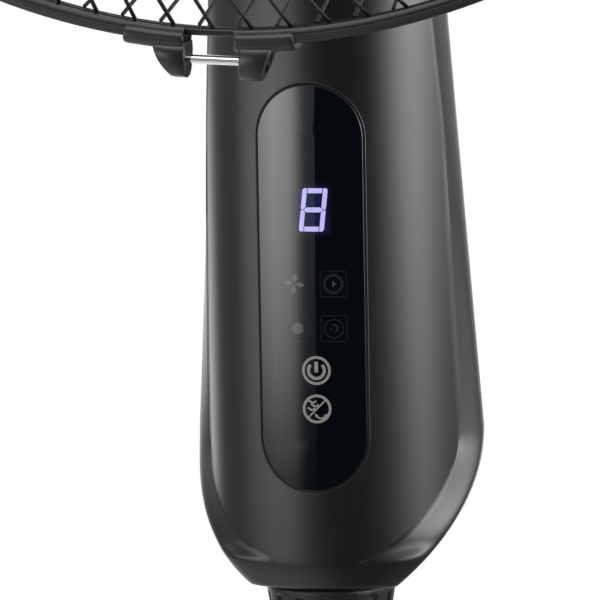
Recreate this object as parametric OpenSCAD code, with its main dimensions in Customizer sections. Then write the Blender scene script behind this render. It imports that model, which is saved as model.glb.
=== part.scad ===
// Pedestal fan: round weighted base, telescopic pole, control housing with a touch display,
// swivelling and tilting motor head, five-blade impeller and a two-part wire guard.
// Millimetres. Origin at the centre of the base on the floor, +Z up, the fan blows towards -Y.

/* [Base] */
// Radius of the round base
base_r = 210; // [180:1:240]
// Wall of the base cover
base_wall = 2.5; // [2:0.1:4]
// Height of the vertical edge of the base cover
base_edge_h = 9; // [6:1:16]
// Rise of the dome from its edge to its crown
dome_rise = 24; // [15:1:34]
// Radius where the dome meets its centre boss
dome_inner_r = 36; // [32:1:50]
// Height of the centre boss above the crown
boss_h = 22; // [14:1:34]
// Gap between the floor and the base cover
skirt_gap = 4; // [3:0.5:6]
// Height of the rubber feet
foot_h = 9; // [8:0.5:12]
// Radius of a rubber foot
foot_r = 11; // [8:0.5:16]
// Distance of the feet's circle inside the edge of the base
foot_inset = 30; // [24:1:60]
// Number of feet
feet = 5; // [4:1:8]
// Thickness of the bottom plate
plate_t = 2; // [1.5:0.1:3]
// Outer radius of the ballast ring
weight_r = 150; // [110:1:165]
// Inner radius of the ballast ring
weight_bore_r = 32; // [28:1:60]
// Thickness of the ballast ring
weight_t = 8; // [5:0.5:12]

/* [Pole] */
// Height of the housing's underside above the floor, pole pushed down
housing_z = 540; // [480:1:700]
// Outer radius of the fixed pole
outer_r = 14; // [13.5:0.1:15]
// Wall of the fixed pole
outer_wall = 1.5; // [1.2:0.1:1.6]
// Outer radius of the sliding pole
inner_r = 11; // [10:0.1:11.2]
// Wall of the sliding pole
inner_wall = 1.2; // [0.8:0.1:2]
// Length of the sliding pole
inner_len = 420; // [390:5:440]
// Length of the sliding pole inside the housing
inner_grip = 100; // [70:1:120]
// Running clearance on radius between sliding or turning pieces
run_gap = 0.08; // [0.05:0.01:0.1]
// Gap on radius where one piece passes freely through another
free_gap = 0.3; // [0.2:0.05:0.6]
// Gap on radius of a pressed or screwed joint
seat_gap = 0.03; // [0.02:0.01:0.06]

/* [Height collar] */
// Radius of the collar at its top
collar_top_r = 21.7; // [20.5:0.1:22]
// Length of the collar
collar_len = 37; // [32:1:44]
// Taper of the collar on each side, in degrees
collar_taper = 9; // [6:0.5:9.5]
// Number of grip grooves round the collar
collar_grooves = 15; // [8:1:24]
// Depth of a grip groove
groove_d = 0.9; // [0.5:0.1:1]
// Width of a grip groove
groove_w = 2.2; // [1.2:0.1:3]
// Gap between the collar and the housing above it
collar_gap = 0.4; // [0.3:0.1:1]

/* [Control housing] */
// Height of the control housing
housing_h = 310; // [290:1:330]
// Height above its underside where the housing is widest
wide_u = 48; // [40:1:56]
// Half width of the housing where it is widest
wide_w = 47.8; // [45:0.1:50]
// Narrowing of each side per millimetre of height above the widest place
side_taper = 0.07; // [0.055:0.001:0.072]
// Half width of the underside
under_w = 24.6; // [22.1:0.1:25.5]
// Radius of the round front face
face_r = 43; // [42.5:0.1:46]
// Distance of the front face from the pole axis
front_d = 25; // [24:0.1:27]
// Distance of the back from the pole axis
back_d = 50; // [47:0.5:56]
// Wall of the housing
wall = 3; // [2.6:0.1:3.2]
// Distance of the parting plane behind the pole axis
split_d = 24; // [23:0.5:27]
// Radius of the rounding round the top
top_round = 14; // [10:0.5:16]

/* [Display] */
// Width of the lens
lens_w = 36; // [32:0.5:38]
// Height of the lens
lens_h = 134; // [120:1:138]
// Height of the lens centre above the underside
lens_u = 100.2; // [96:0.1:104]
// Thickness of the lens
lens_t = 1.8; // [1.4:0.1:2]
// Seam round the lens
lens_seam = 0.4; // [0.25:0.05:0.6]
// Width of the ledge that the lens is glued to
lens_ledge = 4; // [3:0.5:6]
// Height of the digit
digit_h = 14.1; // [12:0.1:16]
// Height of the digit centre above the underside
digit_u = 125.6; // [120:0.1:132]
// Width of a digit segment
segment_w = 1.6; // [1.2:0.1:2]
// Width of the display board
board_w = 30; // [26:1:32]
// Height of the display board
board_h = 160; // [156:1:162]
// Thickness of the circuit boards
board_t = 1.6; // [1:0.1:2]
// Depth of the digit module
module_d = 7; // [6:0.5:7.5]
// Radius of a touch key
key_r = 4.6; // [4:0.1:5]

/* [Swivel and tilt] */
// Radius of the swivel shaft
swivel_r = 10; // [9:0.1:11]
// Teeth of the swivel gear
gear_teeth = 54; // [48:3:54]
// Teeth of the swivel pinion
pinion_teeth = 18; // [16:1:18]
// Gear module
gear_module = 0.75; // [0.7:0.01:0.76]
// Height of the tilt axis above the top of the housing
tilt_h = 22; // [20:0.5:26]
// Radius of the tilt bolt
tilt_bolt_r = 3; // [2.5:0.1:4]
// Radius of the tilt lug and of the neck's ears
tilt_lug_r = 11; // [10:0.5:12]
// Thickness of the tilt lug
tilt_lug_t = 11; // [9:0.5:12]
// Thickness of each ear of the neck
ear_t = 6; // [5:0.5:8]
// Thickness of the friction washers
washer_t = 0.6; // [0.5:0.1:1]

/* [Motor] */
// Height of the fan axis above the top of the housing
fan_h = 95; // [92:1:110]
// Distance of the motor head behind the pole axis
head_back = 27.5; // [20:0.5:34]
// Outer radius of the motor frame
motor_r = 52; // [50:0.5:54]
// Wall of the motor frame
motor_wall = 4; // [3:0.5:4.5]
// Outer radius of the motor cover
cover_r = 60; // [57:0.5:62]
// Wall of the motor cover
cover_wall = 2.5; // [2:0.1:3]
// Radius of the motor shaft
shaft_r = 4; // [3.5:0.1:5]
// Radius of the rotor
rotor_r = 26; // [22:0.5:28]
// Length of the rotor and the stator iron
iron_len = 40; // [30:1:44]

/* [Impeller] */
// Radius of the impeller
blade_r = 181; // [170:1:186]
// Number of blades
blades = 5; // [3:1:6]
// Thickness of a blade
blade_t = 2.2; // [1.8:0.1:3]
// Radius of the hub
hub_r = 34; // [30:0.5:38]

/* [Guard] */
// Outer radius of the clamp hoop
hoop_r = 216.5; // [210:0.5:224]
// Radial depth of the clamp hoop
hoop_d = 4.8; // [4.4:0.1:6]
// Width of the clamp hoop along the fan axis
hoop_w = 11; // [10.2:0.2:14]
// Distance of the hoop along the fan axis
hoop_y = 145; // [142:1:146]
// Radius of the rim wires
rim_wire_r = 1.4; // [1.2:0.1:1.5]
// Radius of the guard wires
wire_r = 0.7; // [0.6:0.05:0.9]
// Number of wires in each guard, every second one reaching the hub
wires = 108; // [80:4:120]
// Radius of the ring that the short wires end at
mid_ring_r = 128; // [110:1:140]
// Radius of the hub ring of the front guard
front_hub_r = 46; // [40:1:52]
// Radius of the hub plate of the rear guard
rear_hub_r = 60; // [56:1:66]
// Distance of the front guard's hub along the fan axis
front_hub_y = 210; // [196:1:214]
// Turn of a wire between the rim and the hub, in degrees
swirl = 20; // [12:1:26]
// Opening between the two clamp lugs' sleeves
clamp_gap = 16; // [12:0.5:20]
// Length of each clamp sleeve
sleeve_len = 19; // [14:0.5:24]
// Turn of the clamp from the bottom of the hoop, in degrees
clip_turn = -2.4; // [-6:0.1:6]
// Turn of the front guard's wires from the bottom, in degrees
front_turn = 1.05; // [-1.6:0.05:1.6]
// Turn of the rear guard's wires from the bottom, in degrees
rear_turn = -0.35; // [-1.6:0.05:1.6]
// Radius of the clamp screw
clamp_screw_r = 1.5; // [1.2:0.1:1.8]

/* [Hidden] */
eps = 0.01;
round_fn = 96;

black = [0.09, 0.09, 0.1];
dark_grey = [0.2, 0.2, 0.21];
mid_grey = [0.45, 0.45, 0.46];
steel = [0.72, 0.73, 0.75];
copper = [0.72, 0.42, 0.25];
board_green = [0.08, 0.3, 0.18];
glow = [0.85, 0.85, 1];

// levels of the base
foot_circle_r = base_r - foot_inset;
plate_z = foot_h;
weight_z = plate_z + plate_t;
edge_top_z = skirt_gap + base_edge_h;
crown_z = edge_top_z + dome_rise;
boss_z = crown_z + boss_h;
dome_span = base_r - dome_inner_r;
dome_r = (pow(dome_span, 2) + pow(dome_rise, 2)) / (2 * dome_rise);
bolt_r = 4;
bolt_head_h = 4.5;
bolt_head_r = 14;
bolt_washer_t = 1.2;
bolt_len = 26;
boss_top_r = 21;
trim_h = 8;

// levels of the pole
collar_top_z = housing_z - collar_gap;
collar_z = collar_top_z - collar_len;
collar_lid = 3;
collet_flange_h = 16;
collet_flange_r = outer_r + 1.2;
collet_plug_len = 30;
collet_slot = 1.2;
outer_top_z = collar_top_z - collar_lid - free_gap - collet_flange_h;
inner_top_z = housing_z + inner_grip;
inner_z = inner_top_z - inner_len;
end_bush_len = 25;

// levels of the housing
housing_top_z = housing_z + housing_h;
face_y = face_r - front_d;
crease_u = 6.5;
crease_gap = 5.9;
crease_gap_fall = 0.0277;
crease_gap_least = 1.2;
ledge_share = 0.3;
shoulder_y = 18;
shoulder_fall = 0.052;
cut_reach = 2 * wide_w;
// the sides grow upright again above this height
upright_u = 180;
upright = 0.00025;

// the lens and what lies behind it
lens_z = housing_z + lens_u;
board_y = -(front_d - lens_t) + 0.9 + module_d;
module_w = 12.6;
module_h = 19;
key_gap = 12.9;
mode_key_u = 59.9;
led_x = 6.6;
led_u = [101.3, 86.4];
board_post_x = 10;
board_post_u = [lens_u - board_h / 2 + 5, lens_u + board_h / 2 - 5];
screw_r = 1.4;
screw_head_r = 2.8;
screw_head_h = 1.8;
housing_screw_len = 18;

// posts that hold the housing together
post_r = 4;
post_x = [32, 25];
post_u = [66, 235];
screw_seat = 6;

// the clamp on the sliding pole and its knob
sleeve_wall = 2.2;
clamp_over = 4;
clamp_set = 2;
clamp_clear = 4;
pad_w = 18;
pad_h = 24;
knob_u = 78;
knob_stem_r = 3;
knob_r = 15;
knob_h = 14;

// the mains lead's gland
gland_u = 52;
gland_r = 6;
gland_bore_r = 3.6;
gland_back = back_d - wall - 9;
gland_flange_h = 3.95;

// the rear control board
control_w = 44;
control_h = 70;
control_u = 185;
control_y = 36;

// the swivel drive
gear_pitch_r = gear_module * gear_teeth / 2;
pinion_pitch_r = gear_module * pinion_teeth / 2;
pinion_y = gear_pitch_r + pinion_pitch_r;
gear_t = 6;
spigot_r = swivel_r - 2;
bush_wall = 3;
bush_flange_t = 2;
bush_len = 18;
neck_flange_r = 17;
neck_flange_t = 5;
neck_z = housing_top_z + bush_flange_t + free_gap / 3;
gear_top_z = housing_top_z - bush_len - 2;
gear_z = gear_top_z - gear_t;
clip_t = 1.5;
swivel_motor_r = 18;
swivel_motor_h = 14;
swivel_motor_z = gear_z - 4 - swivel_motor_h;
swivel_shaft_r = 2.5;
swivel_tab_x = 22;
swivel_tab_y = pinion_y + 5;
tab_t = 1.5;
shelf_t = 3;
tilt_z = housing_top_z + tilt_h;
ear_x = tilt_lug_t / 2 + washer_t + 0.1;

// distances along the fan axis, counted forwards from head_back behind the pole axis
fan_z = housing_top_z + fan_h;
frame_back = -16;
frame_front = 74;
end_plate_t = 4;
flange_face = 84.4;
flange_r = 55;
thread_r = 28;
thread_end = 96;
cover_back = -48;
cover_front = frame_front + 2;
keel_w = 12;
bearing_r = 11;
bearing_t = 7;
bearing_boss_r = 15;
iron_back = 8;
coil_over = 11;
hub_back = 104;
hub_len = 42;
hub_floor = 8;
hub_wall = 3;
hub_boss_wall = 6;
blade_at = 23;
blade_rise = 14;
blade_pitch = 15;
blade_untwist = 3;
blade_swell_r = 90;
blade_round_r = 130;
nut_len = 14;
shaft_back = -24;
shaft_front = hub_back + hub_len + nut_len - 4;
pin_r = 1.5;
pin_len = 22;
pin_at = hub_back + 3;

// the guards
rim_r = hoop_r - hoop_d + 1;
rim_side = rim_wire_r + 0.1;
wire_end_r = rim_r - rim_wire_r - 0.15;
hub_plate_t = 1.5;
rear_hub_y = flange_face + 0.1 + hub_plate_t / 2;
hoop_wall = 1.8;
front_rim_depth = hoop_y + rim_side + 0.5;
rear_rim_depth = hoop_y - rim_side - 0.5;
mid_wire_r = 1;
mid_gap = wire_r + mid_wire_r + 0.15;
lug_r = hoop_r + 4.6;
lug_low = 9.7;
lug_half = hoop_w / 2 + 0.7;
lug_round = 4.5;
left_lug = [-18, -7.4, -11.6, -7.4];
right_lug = [9.6, 20, 9.6, 16];
screw_from = -11.8;
nut_at = 14;
nut_ring_r = 46;

// ---------------------------------------------------------------- helpers

// a ring of revolution about Z
module ring(inner, outer, height) {
    difference() {
        cylinder(r = outer, h = height, $fn = round_fn);
        translate([0, 0, -1]) cylinder(r = inner, h = height + 2, $fn = round_fn);
    }
}

// places its children on the fan axis, with +Z pointing forwards
module on_fan_axis(forward = 0) {
    translate([0, head_back - forward, fan_z]) rotate([90, 0, 0]) children();
}

// a pan-head screw with its head's underside at the origin and its shank along -Z
module pan_screw(r, length, head_r, head_h) {
    translate([0, 0, -length]) cylinder(r = r, h = length, $fn = 24);
    difference() {
        cylinder(r = head_r, h = head_h, $fn = 32);
        translate([-head_r, -0.4, head_h * 0.5]) cube([2 * head_r, 0.8, head_h]);
        translate([-0.4, -head_r, head_h * 0.5]) cube([0.8, 2 * head_r, head_h]);
    }
}

// a spur gear with straight-sided teeth, one of them pointing along +Y
module spur_gear(teeth, height, bore, phase = 0) {
    pitch_r = gear_module * teeth / 2;
    root_r = pitch_r - gear_module * 1.2;
    tip_r = pitch_r + gear_module * 0.8;
    step = 360 / teeth;
    difference() {
        linear_extrude(height = height)
            polygon([
                for (i = [0 : teeth - 1])
                    for (p = [[root_r, -0.27], [tip_r, -0.11], [tip_r, 0.11], [root_r, 0.27]])
                        let (a = 90 + phase * step + step * (i + p[1]))
                        [p[0] * cos(a), p[0] * sin(a)]
            ]);
        translate([0, 0, -1]) cylinder(r = bore, h = height + 2, $fn = 48);
    }
}

// closes a stack of equal rings of points into a solid
module skin(rings) {
    n = len(rings[0]);
    m = len(rings);
    polyhedron(
        points = [for (r = rings) for (p = r) p],
        faces = concat(
            [[for (i = [0 : n - 1]) i]],
            [for (j = [0 : m - 2]) for (i = [0 : n - 1])
                let (a = j * n + i, b = j * n + (i + 1) % n)
                [a, a + n, b]],
            [for (j = [0 : m - 2]) for (i = [0 : n - 1])
                let (a = j * n + i, b = j * n + (i + 1) % n)
                [b, a + n, b + n]],
            [[for (i = [n - 1 : -1 : 0]) (m - 1) * n + i]]
        )
    );
}

// ---------------------------------------------------------------- base and pole

function dome_z(r, drop) = crown_z - dome_r + sqrt(pow(dome_r, 2) - pow(r - dome_inner_r, 2)) - drop;

function dome_line(outer, drop) = [
    for (i = [0 : 16]) let (r = outer - (outer - dome_inner_r) * i / 16) [r, dome_z(r, drop)]
];

module base_cover() {
    bore = outer_r + free_gap;
    color(black) rotate_extrude($fn = round_fn) polygon(concat(
        [[base_r - base_wall, skirt_gap], [base_r, skirt_gap]],
        dome_line(base_r, 0),
        [[boss_top_r + 2, crown_z + 3], [boss_top_r, boss_z], [bore, boss_z], [bore, crown_z]],
        [[boss_top_r - base_wall, crown_z - base_wall]],
        [for (i = [16 : -1 : 0]) dome_line(base_r - base_wall, base_wall)[i]]
    ));
}

module base_weight() {
    color(dark_grey) translate([0, 0, weight_z]) ring(weight_bore_r, weight_r, weight_t);
}

module base_plate() {
    color(dark_grey) translate([0, 0, plate_z])
        ring(bolt_r + free_gap, base_r - base_wall - free_gap, plate_t);
}

module base_feet() {
    color(black) for (i = [0 : feet - 1])
        rotate([0, 0, 90 + i * 360 / feet]) translate([foot_circle_r, 0, 0]) {
            cylinder(r = foot_r - 1, h = 1, $fn = 48);
            translate([0, 0, 1]) cylinder(r = foot_r, h = foot_h - 1, $fn = 48);
        }
}

module base_bolt() {
    top = plate_z - bolt_washer_t;
    color(steel) {
        difference() {
            translate([0, 0, top - bolt_head_h]) cylinder(r = bolt_head_r, h = bolt_head_h, $fn = 48);
            for (i = [0 : 11])
                rotate([0, 0, i * 30]) translate([bolt_head_r + 1, 0, top - bolt_head_h - 1])
                    cylinder(r = 2.4, h = bolt_head_h + 2, $fn = 24);
        }
        translate([0, 0, top]) cylinder(r = bolt_r, h = bolt_len, $fn = 48);
    }
}

module base_washer() {
    color(steel) translate([0, 0, plate_z - bolt_washer_t])
        ring(bolt_r + free_gap, bolt_head_r + 4, bolt_washer_t);
}

module pole_foot_plug() {
    color(mid_grey) translate([0, 0, weight_z])
        ring(bolt_r + seat_gap, outer_r - outer_wall - seat_gap, 40);
}

module pole_trim_ring() {
    bore = outer_r + seat_gap;
    color(black) translate([0, 0, boss_z]) rotate_extrude($fn = round_fn)
        polygon([[bore, 0], [boss_top_r, 0], [boss_top_r, 2], [boss_top_r - 3, trim_h], [bore, trim_h]]);
}

module outer_tube() {
    color(black) translate([0, 0, weight_z]) ring(outer_r - outer_wall, outer_r, outer_top_z - weight_z);
}

module tube_collet() {
    bore = inner_r + run_gap;
    color(mid_grey) difference() {
        union() {
            translate([0, 0, outer_top_z]) ring(bore, collet_flange_r, collet_flange_h);
            translate([0, 0, outer_top_z - collet_plug_len])
                ring(bore, outer_r - outer_wall - seat_gap, collet_plug_len + 1);
        }
        for (a = [45 : 90 : 315])
            rotate([0, 0, a]) translate([inner_r - 1, -collet_slot / 2, outer_top_z + 4])
                cube([8, collet_slot, collet_flange_h]);
    }
}

// how much the collar narrows from its top down to the height z
function collar_radius(z) = collar_top_r - (collar_top_z - z) * tan(collar_taper);

module height_collar() {
    flange_bore = collet_flange_r + run_gap;
    color(black) difference() {
        rotate_extrude($fn = round_fn) polygon([
            [outer_r + run_gap, collar_z],
            [collar_radius(collar_z), collar_z],
            [collar_radius(collar_top_z - 1), collar_top_z - 1],
            [collar_radius(collar_top_z - 1) - 0.8, collar_top_z],
            [inner_r + free_gap, collar_top_z],
            [inner_r + free_gap, collar_top_z - collar_lid],
            [flange_bore, collar_top_z - collar_lid],
            [flange_bore, outer_top_z - free_gap],
            [outer_r + run_gap, outer_top_z - free_gap]
        ]);
        for (i = [0 : collar_grooves - 1])
            rotate([0, 0, (i + 0.5) * 360 / collar_grooves])
                translate([collar_radius(collar_top_z - 3), 0, collar_top_z - 3])
                    rotate([0, 180 + collar_taper, 0])
                        translate([-groove_d, -groove_w / 2, 0])
                            cube([groove_d + 2, groove_w, collar_len]);
    }
}

module inner_tube() {
    color(steel) translate([0, 0, inner_z]) ring(inner_r - inner_wall, inner_r, inner_len);
}

module tube_end_bush() {
    color(mid_grey) translate([0, 0, inner_z])
        ring(inner_r + seat_gap, outer_r - outer_wall - run_gap, end_bush_len);
}

// ---------------------------------------------------------------- control housing

// share of a rise that starts steeply and levels out at x = 1
function levelling(x, power) = 1 - pow(1 - min(max(x, 0), 1), power);

function half_width(u) = u < wide_u
    ? under_w + (wide_w - under_w) * levelling(u / wide_u, 2.45)
    : wide_w - side_taper * (u - wide_u) + upright * pow(max(0, u - upright_u), 2);

function crease_x(u) = max(2, u < wide_u
    ? (wide_w - crease_gap) * sqrt(levelling((u - crease_u) / (wide_u - crease_u), 2.2))
    : half_width(u) - max(crease_gap_least, crease_gap - crease_gap_fall * (u - wide_u)));

function widest_y(u) = u < 5
    ? -6 - 1.3 * u
    : u < wide_u ? -12.5 + (shoulder_y + 12.5) * levelling((u - 5) / (wide_u - 5), 1.3)
    : shoulder_y - shoulder_fall * (u - wide_u);

function back_y(u) = under_w + (back_d - under_w) * levelling(u / wide_u, 1.7);

function apex_y(u) = -under_w - (front_d - under_w) * levelling(u / crease_u, 1.5);

// right half of the outline at height u, from the front to the back; inset moves it inwards
function half_outline(u, inset, nf, nk, nr) =
    let (w = half_width(u) - inset, e = widest_y(u), b = back_y(u) - inset, a = apex_y(u) + inset,
         r = face_r - inset, gap = half_width(u) - crease_x(u), c = max(1.5, w - gap),
         span = asin(c / r), y_c = a + r - r * cos(span), ledge = inset > 0 ? 0.1 : ledge_share * gap)
    concat(
        [for (i = [0 : nf]) let (t = span * i / nf) [r * sin(t), a + r - r * cos(t)]],
        [for (i = [0 : nk - 1]) let (t = 90 * i / nk)
            [c + ledge + (w - c - ledge) * pow(sin(t), 1.4),
             e - (e - y_c - ledge / 4) * pow(cos(t), 1.4)]],
        [for (i = [0 : nr]) let (t = 90 * i / nr)
            [w * pow(cos(t), 0.83), e + (b - e) * pow(sin(t), 0.83)]]
    );

function outline(u, inset, nf, nk, nr) =
    let (h = half_outline(u, inset, nf, nk, nr), n = len(h))
    concat(h, [for (i = [n - 2 : -1 : 1]) [-h[i][0], h[i][1]]]);

// the outline at height u, drawn in by d all round and set at height z
function outline_ring(u, z, d, inset, nf, nk, nr) =
    [for (p = outline(u, inset, nf, nk, nr))
        [p[0] * (1 - d / half_width(u)), 12 + (p[1] - 12) * (1 - d / half_width(u)), housing_z + z]];

module housing_outer() {
    low = 15;
    high = 9;
    turn = 6;
    shoulder_u = housing_h - top_round;
    difference() {
        skin(concat(
            [for (i = [0 : low]) let (u = wide_u * pow(i / low, 1.5)) outline_ring(u, u, 0, 0, 9, 4, 9)],
            [for (i = [1 : high]) let (u = wide_u + (shoulder_u - wide_u) * i / high)
                outline_ring(u, u, 0, 0, 9, 4, 9)],
            [for (i = [1 : turn]) let (t = 90 * i / turn)
                outline_ring(shoulder_u, shoulder_u + top_round * sin(t),
                    top_round * (1 - cos(t)), 0, 9, 4, 9)],
            [outline_ring(shoulder_u, housing_h + 2, top_round, 0, 9, 4, 9)]
        ));
        above(housing_top_z);
    }
}

// everything above a height, which levels the top of a skin
module above(z) {
    translate([-cut_reach, -cut_reach, z]) cube([2 * cut_reach, 2 * cut_reach, wide_w]);
}

// the space at a depth below the housing's surface
module housing_inner(depth) {
    low = 8;
    high = 5;
    turn = 4;
    shoulder_u = housing_h - top_round;
    inner_turn = top_round - depth;
    difference() {
        skin(concat(
            [for (i = [0 : low]) let (u = depth + (wide_u - depth) * i / low)
                outline_ring(u, u, 0, depth * (1.35 - 0.35 * i / low), 5, 2, 6)],
            [for (i = [1 : high]) let (u = wide_u + (shoulder_u - wide_u) * i / high)
                outline_ring(u, u, 0, depth, 5, 2, 6)],
            [for (i = [1 : turn]) let (t = 90 * i / turn)
                outline_ring(shoulder_u, shoulder_u + inner_turn * sin(t),
                    inner_turn * (1 - cos(t)), depth, 5, 2, 6)],
            [outline_ring(shoulder_u, housing_h + 2, inner_turn, depth, 5, 2, 6)]
        ));
        above(housing_top_z - depth);
    }
}

// everything in front of the parting plane
module front_half() {
    translate([-cut_reach, split_d - cut_reach, housing_z - top_round])
        cube([2 * cut_reach, cut_reach, housing_h + 2 * top_round]);
}

// everything behind it
module rear_half() {
    translate([-cut_reach, split_d, housing_z - top_round])
        cube([2 * cut_reach, cut_reach, housing_h + 2 * top_round]);
}

// a prism with a round top and bottom, seen along Y, in front of the pole axis
module lens_prism(grow) {
    w = lens_w + 2 * grow;
    h = lens_h + 2 * grow;
    straight = h - w;
    for (s = [-1, 1])
        translate([0, 0, lens_z + s * straight / 2]) rotate([90, 0, 0])
            cylinder(r = w / 2, h = 60, $fn = 64);
    translate([-w / 2, -60, lens_z - straight / 2]) cube([w, 60, straight]);
}

// an upright cylinder whose front lies on the housing's face, less depth
module face_cylinder(depth) {
    translate([0, face_y, housing_z - 20]) cylinder(r = face_r - depth, h = housing_h + 40, $fn = 180);
}

module at_posts() {
    for (i = [0, 1]) for (s = [-1, 1])
        translate([s * post_x[i], 0, housing_z + post_u[i]]) rotate([-90, 0, 0]) children();
}

module at_board_posts() {
    for (u = board_post_u) for (s = [-1, 1])
        translate([s * board_post_x, 0, housing_z + u]) rotate([-90, 0, 0]) children();
}

module housing_front() {
    color(black) difference() {
        union() {
            difference() {
                intersection() {
                    housing_outer();
                    front_half();
                }
                housing_inner(wall);
            }
            intersection() {
                housing_inner(wall / 2);
                union() {
                    at_posts() translate([0, 0, -40]) cylinder(r = post_r, h = 40 + split_d, $fn = 32);
                    at_board_posts() translate([0, 0, -60])
                        cylinder(r = 2.8, h = 60 + board_y, $fn = 32);
                    translate([0, 0, housing_top_z - bush_len])
                        ring(swivel_r + bush_wall, swivel_r + bush_wall + 3, bush_len);
                }
            }
        }
        difference() {
            lens_prism(lens_seam);
            face_cylinder(lens_t + 0.05);
        }
        difference() {
            lens_prism(-lens_ledge);
            translate([-30, -front_d + 9, housing_z]) cube([60, 60, housing_h]);
        }
        at_posts() translate([0, 0, split_d - 14]) cylinder(r = screw_r + seat_gap, h = 20, $fn = 24);
        at_board_posts() translate([0, 0, board_y - 6])
            cylinder(r = screw_r + seat_gap, h = 10, $fn = 24);
        translate([0, 0, housing_z - 5]) cylinder(r = inner_r + free_gap, h = 20, $fn = 64);
        translate([0, 0, housing_top_z - bush_len - 5])
            cylinder(r = swivel_r + bush_wall + seat_gap, h = bush_len + 10, $fn = 64);
    }
}

module housing_rear() {
    knob_z = housing_z + knob_u;
    color(black) difference() {
        union() {
            difference() {
                intersection() {
                    housing_outer();
                    rear_half();
                }
                housing_inner(wall);
            }
            intersection() {
                housing_inner(wall / 2);
                union() {
                    at_posts() translate([0, 0, split_d]) cylinder(r = post_r, h = 40, $fn = 32);
                    for (x = [-1, 1], z = [-1, 1])
                        translate([x * (control_w / 2 - 4), control_y + board_t,
                                   housing_z + control_u + z * (control_h / 2 - 4)])
                            rotate([-90, 0, 0]) cylinder(r = 2.8, h = 20, $fn = 32);
                    translate([-27, split_d + free_gap, swivel_motor_z - shelf_t])
                        cube([54, 30, shelf_t]);
                }
            }
        }
        at_posts() translate([0, 0, split_d - 1]) cylinder(r = screw_r + free_gap, h = 60, $fn = 24);
        at_posts() translate([0, 0, split_d + screw_seat])
            cylinder(r = screw_head_r + free_gap, h = 60, $fn = 32);
        for (x = [-1, 1], z = [-1, 1])
            translate([x * (control_w / 2 - 4), control_y,
                       housing_z + control_u + z * (control_h / 2 - 4)])
                rotate([-90, 0, 0]) cylinder(r = screw_r + seat_gap, h = 8, $fn = 24);
        for (s = [-1, 1])
            translate([s * swivel_tab_x, swivel_tab_y, swivel_motor_z - shelf_t - 1])
                cylinder(r = screw_r + seat_gap, h = shelf_t + 2, $fn = 24);
        translate([0, 20, knob_z]) rotate([-90, 0, 0])
            cylinder(r = knob_stem_r + free_gap, h = 60, $fn = 48);
        translate([0, 20, housing_z + gland_u]) rotate([-90, 0, 0])
            cylinder(r = gland_r + seat_gap, h = 60, $fn = 48);
    }
}
module display_lens() {
    color(black) intersection() {
        difference() {
            face_cylinder(0);
            face_cylinder(lens_t);
        }
        lens_prism(0);
    }
}

module display_board() {
    color(board_green) difference() {
        translate([-board_w / 2, board_y, lens_z - board_h / 2]) cube([board_w, board_t, board_h]);
        at_board_posts() cylinder(r = screw_r + free_gap, h = 100, center = true, $fn = 24);
    }
}

module board_screws() {
    color(steel) for (u = board_post_u) for (s = [-1, 1])
        translate([s * board_post_x, board_y + board_t, housing_z + u]) rotate([-90, 0, 0])
            pan_screw(screw_r, 7, screw_head_r, screw_head_h);
}

module digit_module() {
    color(mid_grey) translate([-module_w / 2, board_y - module_d, housing_z + digit_u - module_h / 2])
        cube([module_w, module_d, module_h]);
}

// one bar with pointed ends, lying along X and facing -Y
module segment(length) {
    w = segment_w / 2;
    h = length / 2;
    rotate([90, 0, 0]) linear_extrude(height = 0.4)
        polygon([[-h, 0], [-h + w, w], [h - w, w], [h, 0], [h - w, -w], [-h + w, -w]]);
}

module digit_segments() {
    bar = digit_h / 2 - segment_w / 2 - 0.5;
    across = digit_h * 0.52 - segment_w / 2 - 0.5;
    lean = tan(6.5);
    color(glow) translate([0, board_y - module_d, housing_z + digit_u])
        multmatrix([[1, 0, lean, 0], [0, 1, 0, 0], [0, 0, 1, 0], [0, 0, 0, 1]]) {
            for (k = [-1 : 1]) translate([0, 0, k * (digit_h - segment_w) / 2]) segment(across);
            for (k = [-1, 1]) for (s = [-1, 1])
                translate([s * (across + 0.6) / 2, 0, k * (digit_h - segment_w) / 4])
                    rotate([0, 90, 0]) segment(bar);
        }
}

module indicator_leds() {
    color(glow) for (u = led_u) for (s = [-1, 1])
        translate([s * led_x - 1.5, board_y - 1.1, housing_z + u - 1]) cube([3, 1.1, 2]);
}

module touch_pads() {
    front = -(front_d - lens_t) + 0.6;
    color(dark_grey) for (k = [0, 1])
        translate([0, board_y, housing_z + mode_key_u + k * key_gap]) rotate([90, 0, 0])
            cylinder(r = key_r, h = board_y - front, $fn = 48);
}

module control_board() {
    color(board_green) translate([0, control_y, housing_z + control_u]) difference() {
        translate([-control_w / 2, 0, -control_h / 2]) cube([control_w, board_t, control_h]);
        for (x = [-1, 1], z = [-1, 1])
            translate([x * (control_w / 2 - 4), -1, z * (control_h / 2 - 4)]) rotate([-90, 0, 0])
                cylinder(r = screw_r + free_gap, h = 5, $fn = 24);
    }
}

module control_board_screws() {
    color(steel) for (x = [-1, 1], z = [-1, 1])
        translate([x * (control_w / 2 - 4), control_y, housing_z + control_u + z * (control_h / 2 - 4)])
            rotate([90, 0, 0]) pan_screw(screw_r, 7, screw_head_r, screw_head_h);
}

module run_capacitor() {
    color(dark_grey) translate([-15, control_y - 16, housing_z + control_u - 22]) cube([30, 16, 24]);
    color(mid_grey) for (s = [-1, 1])
        translate([s * 9, control_y, housing_z + control_u + 14]) rotate([90, 0, 0])
            cylinder(r = 4, h = 12, $fn = 32);
}

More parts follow.
